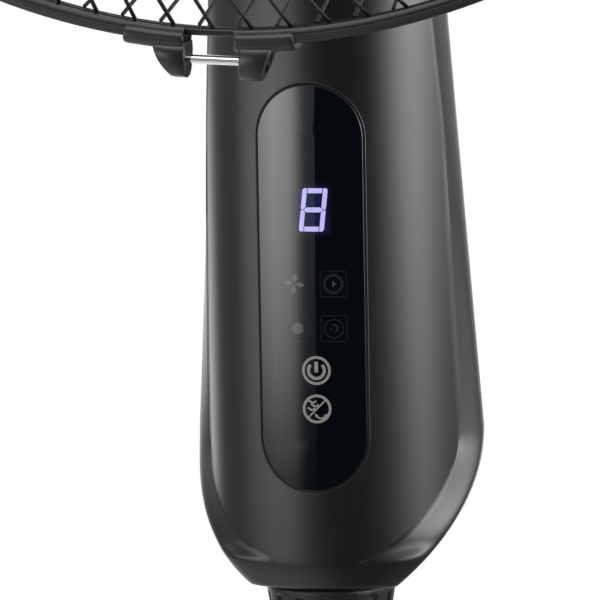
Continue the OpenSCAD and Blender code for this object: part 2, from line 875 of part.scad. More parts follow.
module tube_clamp() {
    color(mid_grey) difference() {
        union() {
            translate([0, 0, housing_z + wall + free_gap])
                ring(inner_r + seat_gap, inner_r + sleeve_wall, inner_grip + clamp_over - wall);
            translate([-pad_w / 2, inner_r + clamp_set, housing_z + knob_u - pad_h / 2])
                cube([pad_w, back_d - wall - inner_r - clamp_set - clamp_clear, pad_h]);
        }
        translate([0, 0, housing_z - 1]) cylinder(r = inner_r + seat_gap, h = inner_grip + 20, $fn = 64);
        translate([0, inner_r - 4, housing_z + knob_u]) rotate([-90, 0, 0])
            cylinder(r = knob_stem_r + run_gap, h = 60, $fn = 48);
    }
}

module clamp_knob() {
    knob_y = back_d + 1.5;
    color(black) translate([0, 0, housing_z + knob_u]) rotate([-90, 0, 0]) {
        translate([0, 0, inner_r + 0.2]) cylinder(r = knob_stem_r, h = knob_y - inner_r, $fn = 48);
        difference() {
            translate([0, 0, knob_y]) cylinder(r = knob_r, h = knob_h, $fn = 64);
            for (i = [0 : 7])
                rotate([0, 0, i * 45]) translate([knob_r + 2, 0, knob_y - 1])
                    cylinder(r = 4, h = knob_h + 2, $fn = 32);
        }
    }
}

module housing_screws() {
    color(steel) for (i = [0, 1]) for (s = [-1, 1])
        translate([s * post_x[i], split_d + screw_seat, housing_z + post_u[i]]) rotate([-90, 0, 0])
            pan_screw(screw_r, housing_screw_len, screw_head_r, screw_head_h);
}

module cable_gland() {
    flange_y = back_d + 0.05;
    color(black) translate([0, 0, housing_z + gland_u]) rotate([-90, 0, 0]) {
        translate([0, 0, gland_back]) ring(gland_bore_r, gland_r, flange_y - gland_back + eps);
        translate([0, 0, flange_y]) ring(gland_bore_r, gland_r + 2, gland_flange_h);
    }
}

// ---------------------------------------------------------------- swivel and tilt

module swivel_bush() {
    bore = swivel_r + run_gap;
    color(mid_grey) {
        translate([0, 0, housing_top_z - bush_len]) ring(bore, swivel_r + bush_wall, bush_len + eps);
        translate([0, 0, housing_top_z]) ring(bore, neck_flange_r, bush_flange_t);
    }
}

module swivel_motor() {
    color(steel) translate([0, pinion_y, swivel_motor_z]) {
        cylinder(r = swivel_motor_r, h = swivel_motor_h, $fn = 64);
        translate([0, 0, swivel_motor_h - 1]) cylinder(r = swivel_shaft_r, h = gear_t + 5.5, $fn = 32);
        for (s = [-1, 1]) difference() {
            hull() {
                translate([s * swivel_tab_x, swivel_tab_y - pinion_y, 0])
                    cylinder(r = 3.6, h = tab_t, $fn = 32);
                translate([s * 12, 0, 0]) cylinder(r = 3.6, h = tab_t, $fn = 32);
            }
            translate([s * swivel_tab_x, swivel_tab_y - pinion_y, -1])
                cylinder(r = screw_r + free_gap, h = 4, $fn = 24);
        }
    }
}

module swivel_screws() {
    color(steel) for (s = [-1, 1])
        translate([s * swivel_tab_x, swivel_tab_y, swivel_motor_z + tab_t])
            pan_screw(screw_r, 6, screw_head_r, screw_head_h);
}

module swivel_pinion() {
    color(mid_grey) translate([0, pinion_y, gear_z - 0.5])
        spur_gear(pinion_teeth, gear_t + 1, swivel_shaft_r + run_gap, 0);
}

module swivel_gear() {
    color(mid_grey) translate([0, 0, gear_z])
        spur_gear(gear_teeth, gear_t, spigot_r + seat_gap, 0.5);
}

module neck_clip() {
    color(steel) translate([0, 0, gear_z - clip_t]) difference() {
        ring(spigot_r - 0.6 + seat_gap, spigot_r + 3, clip_t);
        translate([0, -3, -1]) cube([30, 6, clip_t + 2]);
    }
}

module swivel_neck() {
    neck_top = tilt_z;
    color(black) difference() {
        union() {
            translate([0, 0, gear_top_z]) cylinder(r = swivel_r, h = neck_z - gear_top_z + 1, $fn = 64);
            translate([0, 0, gear_z]) cylinder(r = spigot_r, h = gear_t + 1, $fn = 64);
            translate([0, 0, gear_z - clip_t]) cylinder(r = spigot_r - 0.6, h = clip_t + 1, $fn = 64);
            translate([0, 0, gear_z - clip_t - 2]) cylinder(r = spigot_r, h = 2, $fn = 64);
            translate([0, 0, neck_z]) cylinder(r = neck_flange_r, h = neck_flange_t, $fn = 64);
            for (s = [-1, 1]) translate([s * (ear_x + ear_t / 2), 0, 0]) {
                translate([-ear_t / 2, -tilt_lug_r, neck_z + 2])
                    cube([ear_t, 2 * tilt_lug_r, neck_top - neck_z - 2]);
                translate([-ear_t / 2, 0, tilt_z]) rotate([0, 90, 0])
                    cylinder(r = tilt_lug_r, h = ear_t, $fn = 64);
            }
        }
        translate([-40, 0, tilt_z]) rotate([0, 90, 0])
            cylinder(r = tilt_bolt_r + run_gap, h = 80, $fn = 48);
        translate([0, 0, gear_z - 10]) cylinder(r = 4, h = 60, $fn = 32);
    }
}

module tilt_bolt() {
    reach = ear_x + ear_t;
    color(steel) translate([0, 0, tilt_z]) rotate([0, 90, 0]) {
        translate([0, 0, -reach]) cylinder(r = tilt_bolt_r, h = 2 * reach + 6, $fn = 48);
        translate([0, 0, -reach - 4]) cylinder(r = 6.4, h = 4, $fn = 6);
    }
}

module tilt_nut() {
    color(steel) translate([ear_x + ear_t, 0, tilt_z]) rotate([0, 90, 0]) difference() {
        cylinder(r = 6.4, h = 5, $fn = 6);
        translate([0, 0, -1]) cylinder(r = tilt_bolt_r + seat_gap, h = 7, $fn = 48);
    }
}

module friction_washers() {
    color(steel) for (s = [-1, 1])
        translate([s * (tilt_lug_t + washer_t + 0.1) / 2 - washer_t / 2, 0, tilt_z])
            rotate([0, 90, 0]) ring(tilt_bolt_r + run_gap, tilt_lug_r - 1, washer_t);
}

// ---------------------------------------------------------------- motor

module motor_frame() {
    half_lug = tilt_lug_t / 2;
    lug_to_axis = fan_z - tilt_z;
    color(mid_grey) difference() {
        union() {
            on_fan_axis(frame_back) ring(motor_r - motor_wall, motor_r, frame_front - frame_back);
            on_fan_axis(frame_front - 4) cylinder(r = motor_r, h = 4, $fn = round_fn);
            on_fan_axis(frame_front - 4 - bearing_t)
                cylinder(r = bearing_boss_r, h = bearing_t + 1, $fn = 64);
            on_fan_axis(frame_front - 1)
                cylinder(r = flange_r, h = flange_face - frame_front + 1, $fn = round_fn);
            on_fan_axis(flange_face - 1)
                cylinder(r = thread_r, h = thread_end - flange_face + 1, $fn = 64);
            translate([-keel_w / 2, head_back - frame_front, fan_z - cover_r + 1])
                cube([keel_w, frame_front - frame_back - 2, cover_r - motor_r + 2]);
            translate([-half_lug, 0, tilt_z]) rotate([0, 90, 0])
                cylinder(r = tilt_lug_r, h = tilt_lug_t, $fn = 64);
            translate([-half_lug, -tilt_lug_r, tilt_z])
                cube([tilt_lug_t, 2 * tilt_lug_r, lug_to_axis - motor_r + 2]);
        }
        on_fan_axis(frame_back - 1)
            cylinder(r = motor_r - motor_wall, h = frame_front - frame_back - bearing_t - 3, $fn = round_fn);
        on_fan_axis(frame_front - 4 - bearing_t - 1)
            cylinder(r = bearing_r + seat_gap, h = bearing_t + 1, $fn = 64);
        on_fan_axis(0) cylinder(r = shaft_r + free_gap, h = 120, $fn = 48);
        translate([-20, 0, tilt_z]) rotate([0, 90, 0])
            cylinder(r = tilt_bolt_r + run_gap, h = 40, $fn = 48);
    }
}

module motor_end_plate() {
    color(mid_grey) difference() {
        union() {
            on_fan_axis(frame_back - end_plate_t) cylinder(r = motor_r, h = end_plate_t, $fn = round_fn);
            on_fan_axis(frame_back - 1) cylinder(r = bearing_boss_r, h = bearing_t + 1, $fn = 64);
        }
        on_fan_axis(frame_back) cylinder(r = bearing_r + seat_gap, h = bearing_t + 2, $fn = 64);
        on_fan_axis(shaft_back - 4) cylinder(r = shaft_r + free_gap, h = 60, $fn = 48);
    }
}

// outline of the motor cover from its back to its front, drawn in by inset
function cover_line(inset) =
    let (r = cover_r - inset, back = cover_back + inset, bend = 34 - inset)
    concat(
        [[0, back]],
        [for (i = [0 : 10]) let (t = 9 * i) [r - bend + bend * sin(t), back + bend - bend * cos(t)]],
        [[r, cover_front]]
    );

module motor_cover() {
    color(black) difference() {
        on_fan_axis(0) rotate_extrude($fn = round_fn) polygon(concat(
            cover_line(0),
            [for (i = [12 : -1 : 0]) cover_line(cover_wall)[i]]
        ));
        translate([-keel_w / 2 - free_gap, head_back - cover_front - 1, fan_z - cover_r - 1])
            cube([keel_w + 2 * free_gap, cover_front - frame_back + 1, 20]);
        for (k = [-3 : 3])
            translate([-22, head_back + 40, fan_z + k * 6 - 1.2]) cube([44, 20, 2.4]);
        for (s = [-1, 1])
            translate([s * 30, head_back + 30, fan_z]) rotate([-90, 0, 0])
                cylinder(r = screw_r + free_gap, h = 30, $fn = 24);
    }
}

module cover_screws() {
    color(steel) for (s = [-1, 1])
        translate([s * 30, head_back - cover_back + 0.1, fan_z]) rotate([-90, 0, 0])
            pan_screw(screw_r, 26, screw_head_r, screw_head_h);
}

module stator() {
    color(mid_grey) on_fan_axis(iron_back) ring(rotor_r + 0.5, motor_r - motor_wall - seat_gap, iron_len);
    for (from = [iron_back - coil_over, iron_back + iron_len - eps])
        color(copper) on_fan_axis(from) ring(rotor_r + 4, motor_r - motor_wall - 5, coil_over + eps);
}

module shaft_bearings() {
    color(steel) {
        on_fan_axis(frame_front - 4 - bearing_t) ring(shaft_r + run_gap, bearing_r, bearing_t - 0.05);
        on_fan_axis(frame_back) ring(shaft_r + run_gap, bearing_r, bearing_t);
    }
}

module rotor() {
    color(steel) on_fan_axis(iron_back) ring(shaft_r + seat_gap, rotor_r, iron_len);
}

module motor_shaft() {
    color(steel) difference() {
        on_fan_axis(shaft_back) cylinder(r = shaft_r, h = shaft_front - shaft_back, $fn = 48);
        translate([-pin_len, head_back - pin_at, fan_z]) rotate([0, 90, 0])
            cylinder(r = pin_r + seat_gap, h = 2 * pin_len, $fn = 32);
    }
}

module drive_pin() {
    color(steel) translate([-pin_len / 2, head_back - pin_at, fan_z]) rotate([0, 90, 0])
        cylinder(r = pin_r, h = pin_len, $fn = 32);
}

// ---------------------------------------------------------------- impeller

// half the angle that a blade covers at radius r
function blade_half_angle(r) =
    let (x = max(0, (r - blade_round_r) / (blade_r - blade_round_r)))
    (19 + 8 * min(1, r / blade_swell_r)) * sqrt(1 - 0.92 * pow(x, 4));

// a point of the blade's middle surface: r from the axis, s from -1 to 1 along the chord
function blade_point(r, s, lift) =
    let (a = s * blade_half_angle(r) + 14 * pow(r / blade_r, 2),
         d = hub_back + blade_at + blade_rise * pow(r / blade_r, 1.5)
             + s * (blade_pitch - blade_untwist * r / blade_r))
    [r * cos(a), r * sin(a), d + lift];

module blade() {
    across = 8;
    out = 11;
    root_r = hub_r - 2;
    skin([
        for (j = [0 : out]) let (r = root_r + (blade_r - root_r) * j / out) concat(
            [for (i = [0 : across]) blade_point(r, -1 + 2 * i / across, -blade_t / 2)],
            [for (i = [across : -1 : 0]) blade_point(r, -1 + 2 * i / across, blade_t / 2)]
        )
    ]);
}

module fan_blade() {
    color(dark_grey) difference() {
        on_fan_axis(0) {
            translate([0, 0, hub_back]) cylinder(r = hub_r, h = hub_len, $fn = round_fn);
            for (i = [0 : blades - 1]) rotate([0, 0, i * 360 / blades]) blade();
        }
        on_fan_axis(hub_back - 1) cylinder(r = shaft_r + run_gap, h = hub_len + 2, $fn = 48);
        on_fan_axis(hub_back + hub_floor) ring(shaft_r + hub_boss_wall, hub_r - hub_wall, hub_len);
        translate([-pin_len / 2 - 0.2, head_back - pin_at - pin_r - 0.1, fan_z - pin_r - 0.1])
            cube([pin_len + 0.4, pin_at - hub_back + pin_r + 2, 2 * pin_r + 0.2]);
    }
}

module blade_nut() {
    color(black) on_fan_axis(hub_back + hub_len) difference() {
        union() {
            cylinder(r = 13, h = 4, $fn = 48);
            cylinder(r = 9.5, h = nut_len, $fn = 8);
        }
        translate([0, 0, -1]) cylinder(r = shaft_r + seat_gap, h = nut_len - 2, $fn = 48);
    }
}

// ---------------------------------------------------------------- guards

// centre of the circle through three points
function centre3(a, b, c) =
    let (u = b - a, v = c - a, w = cross(u, v))
    a + ((u * u) * cross(v, w) + (v * v) * cross(w, u)) / (2 * w * w);

// a round wire bent along the circle through three points
module wire_arc(a, b, c, r) {
    o = centre3(a, b, c);
    bend = norm(a - o);
    ex = (a - o) / bend;
    normal = cross(a - o, c - o);
    ez = normal / norm(normal);
    ey = cross(ez, ex);
    multmatrix([
        [ex[0], ey[0], ez[0], o[0]],
        [ex[1], ey[1], ez[1], o[1]],
        [ex[2], ey[2], ez[2], o[2]],
        [0, 0, 0, 1]
    ]) rotate_extrude(angle = acos(((a - o) * (c - o)) / pow(bend, 2)), $fn = 48)
        translate([bend, 0]) circle(r = r, $fn = 16);
}

// distance along the axis of a guard that is flat at its hub and curves to its rim
function guard_depth(r, hub, start_r, rim_depth) =
    let (span = wire_end_r - start_r, fall = rim_depth - hub,
         bend = (span * span + fall * fall) / (2 * abs(fall)))
    hub + sign(fall) * (bend - sqrt(bend * bend - pow(r - start_r, 2)));

function guard_point(r, angle, hub, start_r, rim_depth) =
    [r * cos(angle), r * sin(angle), guard_depth(r, hub, start_r, rim_depth)];

// the wires of one guard, which start at start_r; turn is the swirl with its sign, at where they begin
module guard_wires(hub, start_r, rim_depth, turn, at) {
    step = 360 / wires;
    share = (wire_end_r - mid_ring_r) / (wire_end_r - start_r);
    short_r = (wire_end_r + mid_ring_r) / 2;
    on_fan_axis(0) for (i = [0 : wires / 2 - 1]) {
        long = -90 + at + 2 * i * step;
        short = long + step;
        wire_arc(guard_point(wire_end_r, long, hub, start_r, rim_depth),
            guard_point(mid_ring_r, long + turn * share, hub, start_r, rim_depth),
            guard_point(start_r, long + turn, hub, start_r, rim_depth), wire_r);
        wire_arc(guard_point(wire_end_r, short, hub, start_r, rim_depth),
            guard_point(short_r, short + turn * share / 2, hub, start_r, rim_depth),
            guard_point(mid_ring_r, short + turn * share, hub, start_r, rim_depth), wire_r);
    }
}

// a ring of round wire about the fan axis
module wire_ring(r, depth, tube) {
    on_fan_axis(depth) rotate_extrude($fn = round_fn) translate([r, 0]) circle(r = tube, $fn = 24);
}

module front_guard_wires() {
    color(black) guard_wires(front_hub_y, front_hub_r + wire_r, front_rim_depth, -swirl, front_turn);
}

module rear_guard_wires() {
    color(black) guard_wires(rear_hub_y, rear_hub_r + wire_r, rear_rim_depth, swirl, rear_turn);
}

module front_guard_rings() {
    mid = guard_depth(mid_ring_r, front_hub_y, front_hub_r + wire_r, front_rim_depth);
    color(black) {
        wire_ring(rim_r, hoop_y + rim_side, rim_wire_r);
        wire_ring(mid_ring_r, mid - mid_gap, mid_wire_r);
        on_fan_axis(front_hub_y - 1) ring(front_hub_r - 4, front_hub_r - 0.1, 2);
    }
}

module rear_guard_rings() {
    mid = guard_depth(mid_ring_r, rear_hub_y, rear_hub_r + wire_r, rear_rim_depth);
    color(black) {
        wire_ring(rim_r, hoop_y - rim_side, rim_wire_r);
        wire_ring(mid_ring_r, mid + mid_gap, mid_wire_r);
        on_fan_axis(rear_hub_y - hub_plate_t / 2)
            ring(thread_r + free_gap, rear_hub_r - 0.1, hub_plate_t);
    }
}

module guard_nut() {
    front = rear_hub_y + hub_plate_t / 2 + 0.1;
    color(black) on_fan_axis(front) difference() {
        cylinder(r = nut_ring_r, h = 8, $fn = round_fn);
        translate([0, 0, -1]) cylinder(r = thread_r + run_gap, h = 10, $fn = 64);
        for (i = [0 : 17])
            rotate([0, 0, i * 20]) translate([nut_ring_r + 1.4, 0, -1]) cylinder(r = 3, h = 10, $fn = 24);
    }
}

module centre_cap() {
    color(black) on_fan_axis(front_hub_y + 1.1) rotate_extrude($fn = round_fn) polygon([
        [0, 0], [front_hub_r, 0], [front_hub_r, 1.2],
        [front_hub_r - 2, 2.6], [front_hub_r - 12, 4], [0, 4.6]
    ]);
    color(black) on_fan_axis(front_hub_y - 3)
        ring(front_hub_r - 7, front_hub_r - 4.1, 4.1 + eps);
}

// the clamp hoop's channel, open towards the axis
module hoop_profile() {
    difference() {
        translate([hoop_r - hoop_d, -hoop_w / 2]) square([hoop_d, hoop_w]);
        translate([hoop_r - hoop_d - 1, -hoop_w / 2 + hoop_wall])
            square([hoop_d - hoop_wall + 1, hoop_w - 2 * hoop_wall]);
    }
}

// a round-edged sleeve over one end of the hoop; side is -1 or 1
module clamp_sleeve(side) {
    gap_angle = asin(clamp_gap / 2 / hoop_r);
    sleeve_angle = sleeve_len / hoop_r * 180 / PI;
    start = side > 0 ? -90 + gap_angle : -90 - gap_angle - sleeve_angle;
    rotate([0, 0, start]) rotate_extrude(angle = sleeve_angle, $fn = round_fn) difference() {
        translate([hoop_r - hoop_d - 0.6, -hoop_w / 2 - 1]) square([hoop_d + 2, hoop_w + 2]);
        translate([hoop_r - hoop_d - 2, -hoop_w / 2 + hoop_wall])
            square([hoop_d - hoop_wall + 2, hoop_w - 2 * hoop_wall]);
    }
}

// a lug under a sleeve, round below; at is its left and right edge above, then below
module clamp_lug(at) {
    low = hoop_r + lug_low;
    high = hoop_r - hoop_d / 4;
    reach = clamp_gap + sleeve_len;
    intersection() {
        translate([0, 0, -lug_half]) linear_extrude(height = 2 * lug_half)
            polygon([[at[0], -high], [at[2], -low], [at[3], -low], [at[1], -high]]);
        union() {
            for (s = [-1, 1]) translate([-reach, lug_round - low, s * (lug_half - lug_round)])
                rotate([0, 90, 0]) cylinder(r = lug_round, h = 2 * reach, $fn = 48);
            translate([-reach, -low, lug_round - lug_half])
                cube([2 * reach, low - high, 2 * (lug_half - lug_round)]);
            translate([-reach, lug_round - low, -lug_half])
                cube([2 * reach, low - high - lug_round, 2 * lug_half]);
        }
    }
}

// puts its children at the clamp, with the screw's axis as their X
module at_clamp() {
    on_fan_axis(hoop_y) rotate([0, 0, clip_turn]) children();
}

module guard_hoop() {
    gap_angle = asin(clamp_gap / 2 / hoop_r);
    recess_r = 3.4;
    color(black) at_clamp() difference() {
        union() {
            rotate([0, 0, -90 + gap_angle])
                rotate_extrude(angle = 360 - 2 * gap_angle, $fn = round_fn) hoop_profile();
            clamp_sleeve(-1);
            clamp_sleeve(1);
            clamp_lug(left_lug);
            clamp_lug(right_lug);
        }
        translate([-40, -lug_r, 0]) rotate([0, 90, 0])
            cylinder(r = clamp_screw_r + seat_gap, h = 80, $fn = 32);
        translate([screw_from - 20, -lug_r, 0]) rotate([0, 90, 0]) cylinder(r = recess_r, h = 20, $fn = 32);
        translate([nut_at, -lug_r, 0]) rotate([0, 90, 0]) cylinder(r = recess_r, h = 20, $fn = 32);
    }
}

module hoop_screw() {
    head_h = 2;
    color(steel) at_clamp() translate([screw_from, -lug_r, 0]) rotate([0, 90, 0]) {
        cylinder(r = clamp_screw_r, h = nut_at - screw_from + 3, $fn = 32);
        translate([0, 0, -head_h]) cylinder(r = 2.8, h = head_h, $fn = 32);
    }
}

module hoop_nut() {
    color(steel) at_clamp() translate([nut_at, -lug_r, 0]) rotate([0, 90, 0]) difference() {
        cylinder(r = 3.2, h = 2.2, $fn = 6);
        translate([0, 0, -1]) cylinder(r = clamp_screw_r + seat_gap, h = 5, $fn = 32);
    }
}

base_cover();
base_weight();
base_plate();
base_feet();
base_bolt();
base_washer();
pole_foot_plug();
pole_trim_ring();
outer_tube();
tube_collet();
height_collar();
inner_tube();
tube_end_bush();
housing_front();
housing_rear();
display_lens();
display_board();
digit_module();
digit_segments();
indicator_leds();
touch_pads();
board_screws();
control_board();
run_capacitor();
control_board_screws();
tube_clamp();
clamp_knob();
housing_screws();
cable_gland();
swivel_bush();
swivel_motor();
swivel_screws();
swivel_pinion();
swivel_neck();
swivel_gear();
neck_clip();
tilt_bolt();
tilt_nut();
friction_washers();
motor_frame();
motor_end_plate();
motor_cover();
stator();
shaft_bearings();
cover_screws();
rotor();
motor_shaft();
drive_pin();
fan_blade();
blade_nut();
rear_guard_wires();
rear_guard_rings();
guard_nut();
front_guard_wires();
front_guard_rings();
guard_hoop();
hoop_screw();
hoop_nut();
centre_cap();
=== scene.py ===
from contextlib import contextmanager
from math import acos, asin, cos, pi, radians, sin, sqrt, tan

import bpy
from mathutils import Matrix, Vector


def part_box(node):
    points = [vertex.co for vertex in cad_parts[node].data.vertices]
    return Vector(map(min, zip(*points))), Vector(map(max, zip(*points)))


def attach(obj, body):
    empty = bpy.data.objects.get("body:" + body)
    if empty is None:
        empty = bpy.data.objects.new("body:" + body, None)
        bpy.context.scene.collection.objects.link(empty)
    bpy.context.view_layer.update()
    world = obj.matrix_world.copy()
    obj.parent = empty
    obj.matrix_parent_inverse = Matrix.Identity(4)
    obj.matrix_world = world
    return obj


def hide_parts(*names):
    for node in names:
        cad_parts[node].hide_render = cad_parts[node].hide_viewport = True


bl_info = {
    "name": "Pedestal fan",
    "version": (1, 0, 0),
    "blender": (4, 5, 0),
    "location": "View3D > Sidebar > Fan",
    "description": "Shells, guards, controls, finishes and studio for a pedestal fan",
    "category": "Object",
}

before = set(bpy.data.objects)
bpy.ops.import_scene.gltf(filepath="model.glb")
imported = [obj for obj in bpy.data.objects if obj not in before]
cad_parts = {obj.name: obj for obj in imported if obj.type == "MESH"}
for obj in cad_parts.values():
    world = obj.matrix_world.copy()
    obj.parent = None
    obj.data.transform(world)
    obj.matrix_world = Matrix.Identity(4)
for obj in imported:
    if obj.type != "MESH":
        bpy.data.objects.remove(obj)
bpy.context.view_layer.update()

MM = 0.001


def low(node):
    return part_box(node)[0]


def high(node):
    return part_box(node)[1]


def half_across(node):
    """Half the width of a node, which is the outer radius of a round one."""
    return (high(node)[0] - low(node)[0]) / 2


def mid_z(node):
    return (low(node)[2] + high(node)[2]) / 2


# places taken from the frame, in metres
HOUSING_Z = low("housing_front")[2]
HOUSING_TOP = high("housing_front")[2]
FACE_FRONT = -low("housing_front")[1]
PARTING_Y = high("housing_front")[1]
HOUSING_BACK = high("housing_rear")[1]
LENS_LOW, LENS_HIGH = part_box("display_lens")
LENS_HALF = half_across("display_lens")
DIGIT_LOW, DIGIT_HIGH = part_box("digit_segments")
COLLAR_LOW, COLLAR_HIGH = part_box("height_collar")
KNOB_Z = mid_z("clamp_knob")
FAN_Z = mid_z("front_guard_rings")
HOOP_R = half_across("guard_hoop")
HOOP_DEPTH = -(low("guard_hoop")[1] + high("guard_hoop")[1]) / 2
SCREW_R = FAN_Z - mid_z("hoop_screw")
HUB_BACK = -high("fan_blade")[1]


# ---------------------------------------------------------------- settings

def length(name, text, default):
    return bpy.props.FloatProperty(
        name=name, description=text, default=default, unit="LENGTH", precision=5, min=0.0)


def share(name, text, default):
    return bpy.props.FloatProperty(name=name, description=text, default=default, min=0.0)


def turn(name, text, default):
    return bpy.props.FloatProperty(
        name=name, description=text, default=radians(default), subtype="ANGLE", unit="ROTATION")


def colour(name, text, default):
    return bpy.props.FloatVectorProperty(
        name=name, description=text, default=default, subtype="COLOR", size=3, min=0.0, max=1.0)


class FanHousingSettings(bpy.types.PropertyGroup):
    wide_u: length("Widest height", "Height of the widest place above the underside", 0.048)
    wide_w: length("Half width", "Half the housing's width at its widest", 0.0478)
    side_taper: share("Side taper", "How fast the sides draw in upwards", 0.07)
    upright_u: length("Upright height", "Height above which the sides grow upright again", 0.18)
    upright: share("Uprightness", "How fast they do, by the square of the height", 0.25)
    under_w: length("Half underside", "Half the width of the underside", 0.0246)
    face_r: length("Face radius", "Radius of the curved front face", 0.043)
    top_round: length("Top rounding", "Radius of the rounded top edge", 0.014)
    crease_u: length("Crease start", "Height at which the side creases begin", 0.0095)
    skirt_in: length("Skirt set-back", "How far the face's foot lies behind the face", 0.0022)
    foot_round: length("Foot rounding", "Radius of the rounded edge of the face's foot", 0.0014)
    crease_gap: length("Crease gap", "Distance of the crease from the side at the widest place", 0.0059)
    crease_fall: share("Crease fall", "How fast the crease runs out to the side", 0.045)
    crease_least: length("Least crease gap", "Distance of the crease from the side at the top", 0.0012)
    ledge_share: share("Ledge share", "Share of the crease gap that is the flat ledge", 0.3)
    crease_bend: turn("Crease bend", "Turn of the surface across the crease", 8.0)
    shoulder_y: length("Shoulder", "How far back the widest place lies", 0.018)
    shoulder_fall: share("Shoulder fall", "How fast the widest place comes forward upwards", 0.052)
    seam: length("Parting seam", "Width of the seam between the two shells", 0.00035)


class FanLensSettings(bpy.types.PropertyGroup):
    # The dark seam is a near-black strip: painted shade for the gap round the lens.
    gasket: length("Gasket width", "Width of the dark seam round the lens", 0.00045)
    proud: length("Proud", "How far the lens stands out of the face", 0.00012)
    edge: length("Edge", "Rounding of the lens edge", 0.00035)
    inset: length("Inset", "How far the polished lens stays inside its seat at the sides", 0.0005)
    top_inset: length("Top inset", "How far it does at the top", 0.0009)
    bar: length("Level bar", "Height of a level bar of the digit", 0.0016)
    side_bar: length("Side bar", "Width of an upright bar of the digit", 0.0015)
    bar_gap: length("Bar gap", "Gap between two bars of the digit", 0.00026)
    digit_share: share("Digit width", "Width of the digit as a share of its height", 0.585)
    lean: turn("Lean", "Lean of the digit", 6.2)
    display_x: length("Display shift", "How far the display sits to the right of the lens middle", 0.0015)
    spacing: length("Icon spacing", "Half the distance between two icons of a row", 0.0064)


class FanHeadSettings(bpy.types.PropertyGroup):
    hoop_d: length("Hoop depth", "Radial depth of the hoop", 0.0048)
    hoop_w: length("Hoop width", "Width of the hoop along the axis", 0.011)
    clamp_gap: length("Clamp gap", "Gap between the hoop's two ends", 0.016)
    sleeve: length("Sleeve", "Length of a clamp sleeve", 0.019)
    screw_drop: length("Screw drop", "How far the clamp screw hangs below its place", 0.0011)
    clamp_turn: turn("Clamp turn", "Turn of the clamp from the bottom of the hoop", -2.4)
    wire_r: length("Wire radius", "Radius of a guard wire", 0.0007)
    rim_wire_r: length("Rim wire radius", "Radius of a rim ring's wire", 0.0014)
    mid_ring_r: length("Middle ring", "Radius of the middle ring of each guard", 0.128)
    wires: bpy.props.IntProperty(
        name="Wires", description="Wires of one guard, long and short", default=108, min=8)
    swirl: turn("Swirl", "How far a wire turns from the rim to the hub", 20.0)
    front_turn: turn("Front turn", "Turn of the front guard's wires from the bottom", 1.05)
    rear_turn: turn("Rear turn", "Turn of the rear guard's wires from the bottom", -0.35)
    blades: bpy.props.IntProperty(name="Blades", description="Blades of the impeller", default=5, min=2)
    blade_r: length("Blade radius", "Reach of a blade from the axis", 0.181)
    blade_t: length("Blade thickness", "Thickness of a blade", 0.0022)
    hub_r: length("Hub radius", "Radius of the impeller's hub", 0.034)


class FanFinishSettings(bpy.types.PropertyGroup):
    housing: colour("Housing", "Satin charcoal plastic of the housing", (0.0054, 0.0053, 0.0059))
    black: colour("Black plastic", "Black plastic of the base, hoop and motor cover", (0.012, 0.012, 0.013))
    coating: colour("Guard coating", "Powder coat of the guard wires", (0.006, 0.006, 0.0065))
    lens: colour("Lens", "Black acrylic of the lens", (0.0007, 0.0019, 0.0037))
    glow: colour("Glow", "Light of the digit", (0.56, 0.53, 1.0))
    halo: colour("Halo", "Glow of the lens round the digit", (0.005, 0.009, 0.040))
    # The key icons' grey print is given off as light: painted glow that stays the same under any lamp.
    print_painted_glow: colour("Print", "Grey print of the key icons", (0.24, 0.235, 0.225))
    # The unlit function icons give off this faint light, and the paler one below: painted glow, not print lit
    # by the lamps.
    faint: colour("Faint print", "Unlit function icons", (0.0085, 0.0105, 0.0135))
    pale: colour("Pale print", "The paler parts of the function icons", (0.055, 0.058, 0.068))
    blade: colour("Blade", "Tinted plastic of the blades", (0.02, 0.02, 0.023))


class FanStageSettings(bpy.types.PropertyGroup):
    azimuth: turn("Azimuth", "Direction of the camera to the right of the front", 12.5)
    elevation: turn("Elevation", "Height of the camera above the horizon", 8.0)
    roll: turn("Roll", "Turn of the camera about its own axis", 1.0)
    distance: length("Distance", "Distance of the camera from its target", 2.0)
    focal: bpy.props.FloatProperty(
        name="Focal length", description="Focal length for a 36 mm sensor", default=366.0, unit="CAMERA")
    target_z: length("Target height", "Height that the camera looks at", 0.6328)
    target_left: length("Target shift", "How far the target lies to the left of the pole", 0.0087)
    room: share("Room light", "Strength of the even light all round", 0.45)


GROUPS = {
    "fan_housing": FanHousingSettings,
    "fan_lens": FanLensSettings,
    "fan_head": FanHeadSettings,
    "fan_finish": FanFinishSettings,
    "fan_stage": FanStageSettings,
}


# ---------------------------------------------------------------- modelling helpers

def start():
    """Leaves nothing selected, in object mode."""
    if bpy.context.mode != "OBJECT":
        bpy.ops.object.mode_set(mode="OBJECT")
    bpy.ops.object.select_all(action="DESELECT")


def only(piece):
    start()
    piece.select_set(True)
    bpy.context.view_layer.objects.active = piece
    return piece


def added(name):
    """Names what a primitive operator has just added."""
    piece = bpy.context.active_object
    piece.name = name
    piece.data.name = name
    return piece


@contextmanager
def editing(piece, kind="VERT"):
    """Edit mode with everything selected."""
    only(piece)
    bpy.ops.object.mode_set(mode="EDIT")
    bpy.ops.mesh.select_mode(type=kind)
    bpy.ops.mesh.select_all(action="SELECT")
    yield
    bpy.ops.object.mode_set(mode="OBJECT")


def settled(piece):
    """Puts the object at the origin, unturned and unscaled, with its place in its mesh."""
    only(piece)
    bpy.ops.object.transform_apply(location=True, rotation=True, scale=True)
    return piece


def closed(piece, fill=True, merge=1e-6):
    """Merges doubles, closes holes and points the faces outwards."""
    with editing(piece):
        bpy.ops.mesh.remove_doubles(threshold=merge)
        bpy.ops.mesh.delete_loose(use_verts=True, use_edges=True, use_faces=False)
        if fill:
            bpy.ops.mesh.select_all(action="SELECT")
            bpy.ops.mesh.fill_holes(sides=0)
        bpy.ops.mesh.select_all(action="SELECT")
        bpy.ops.mesh.normals_make_consistent(inside=False)
    return piece


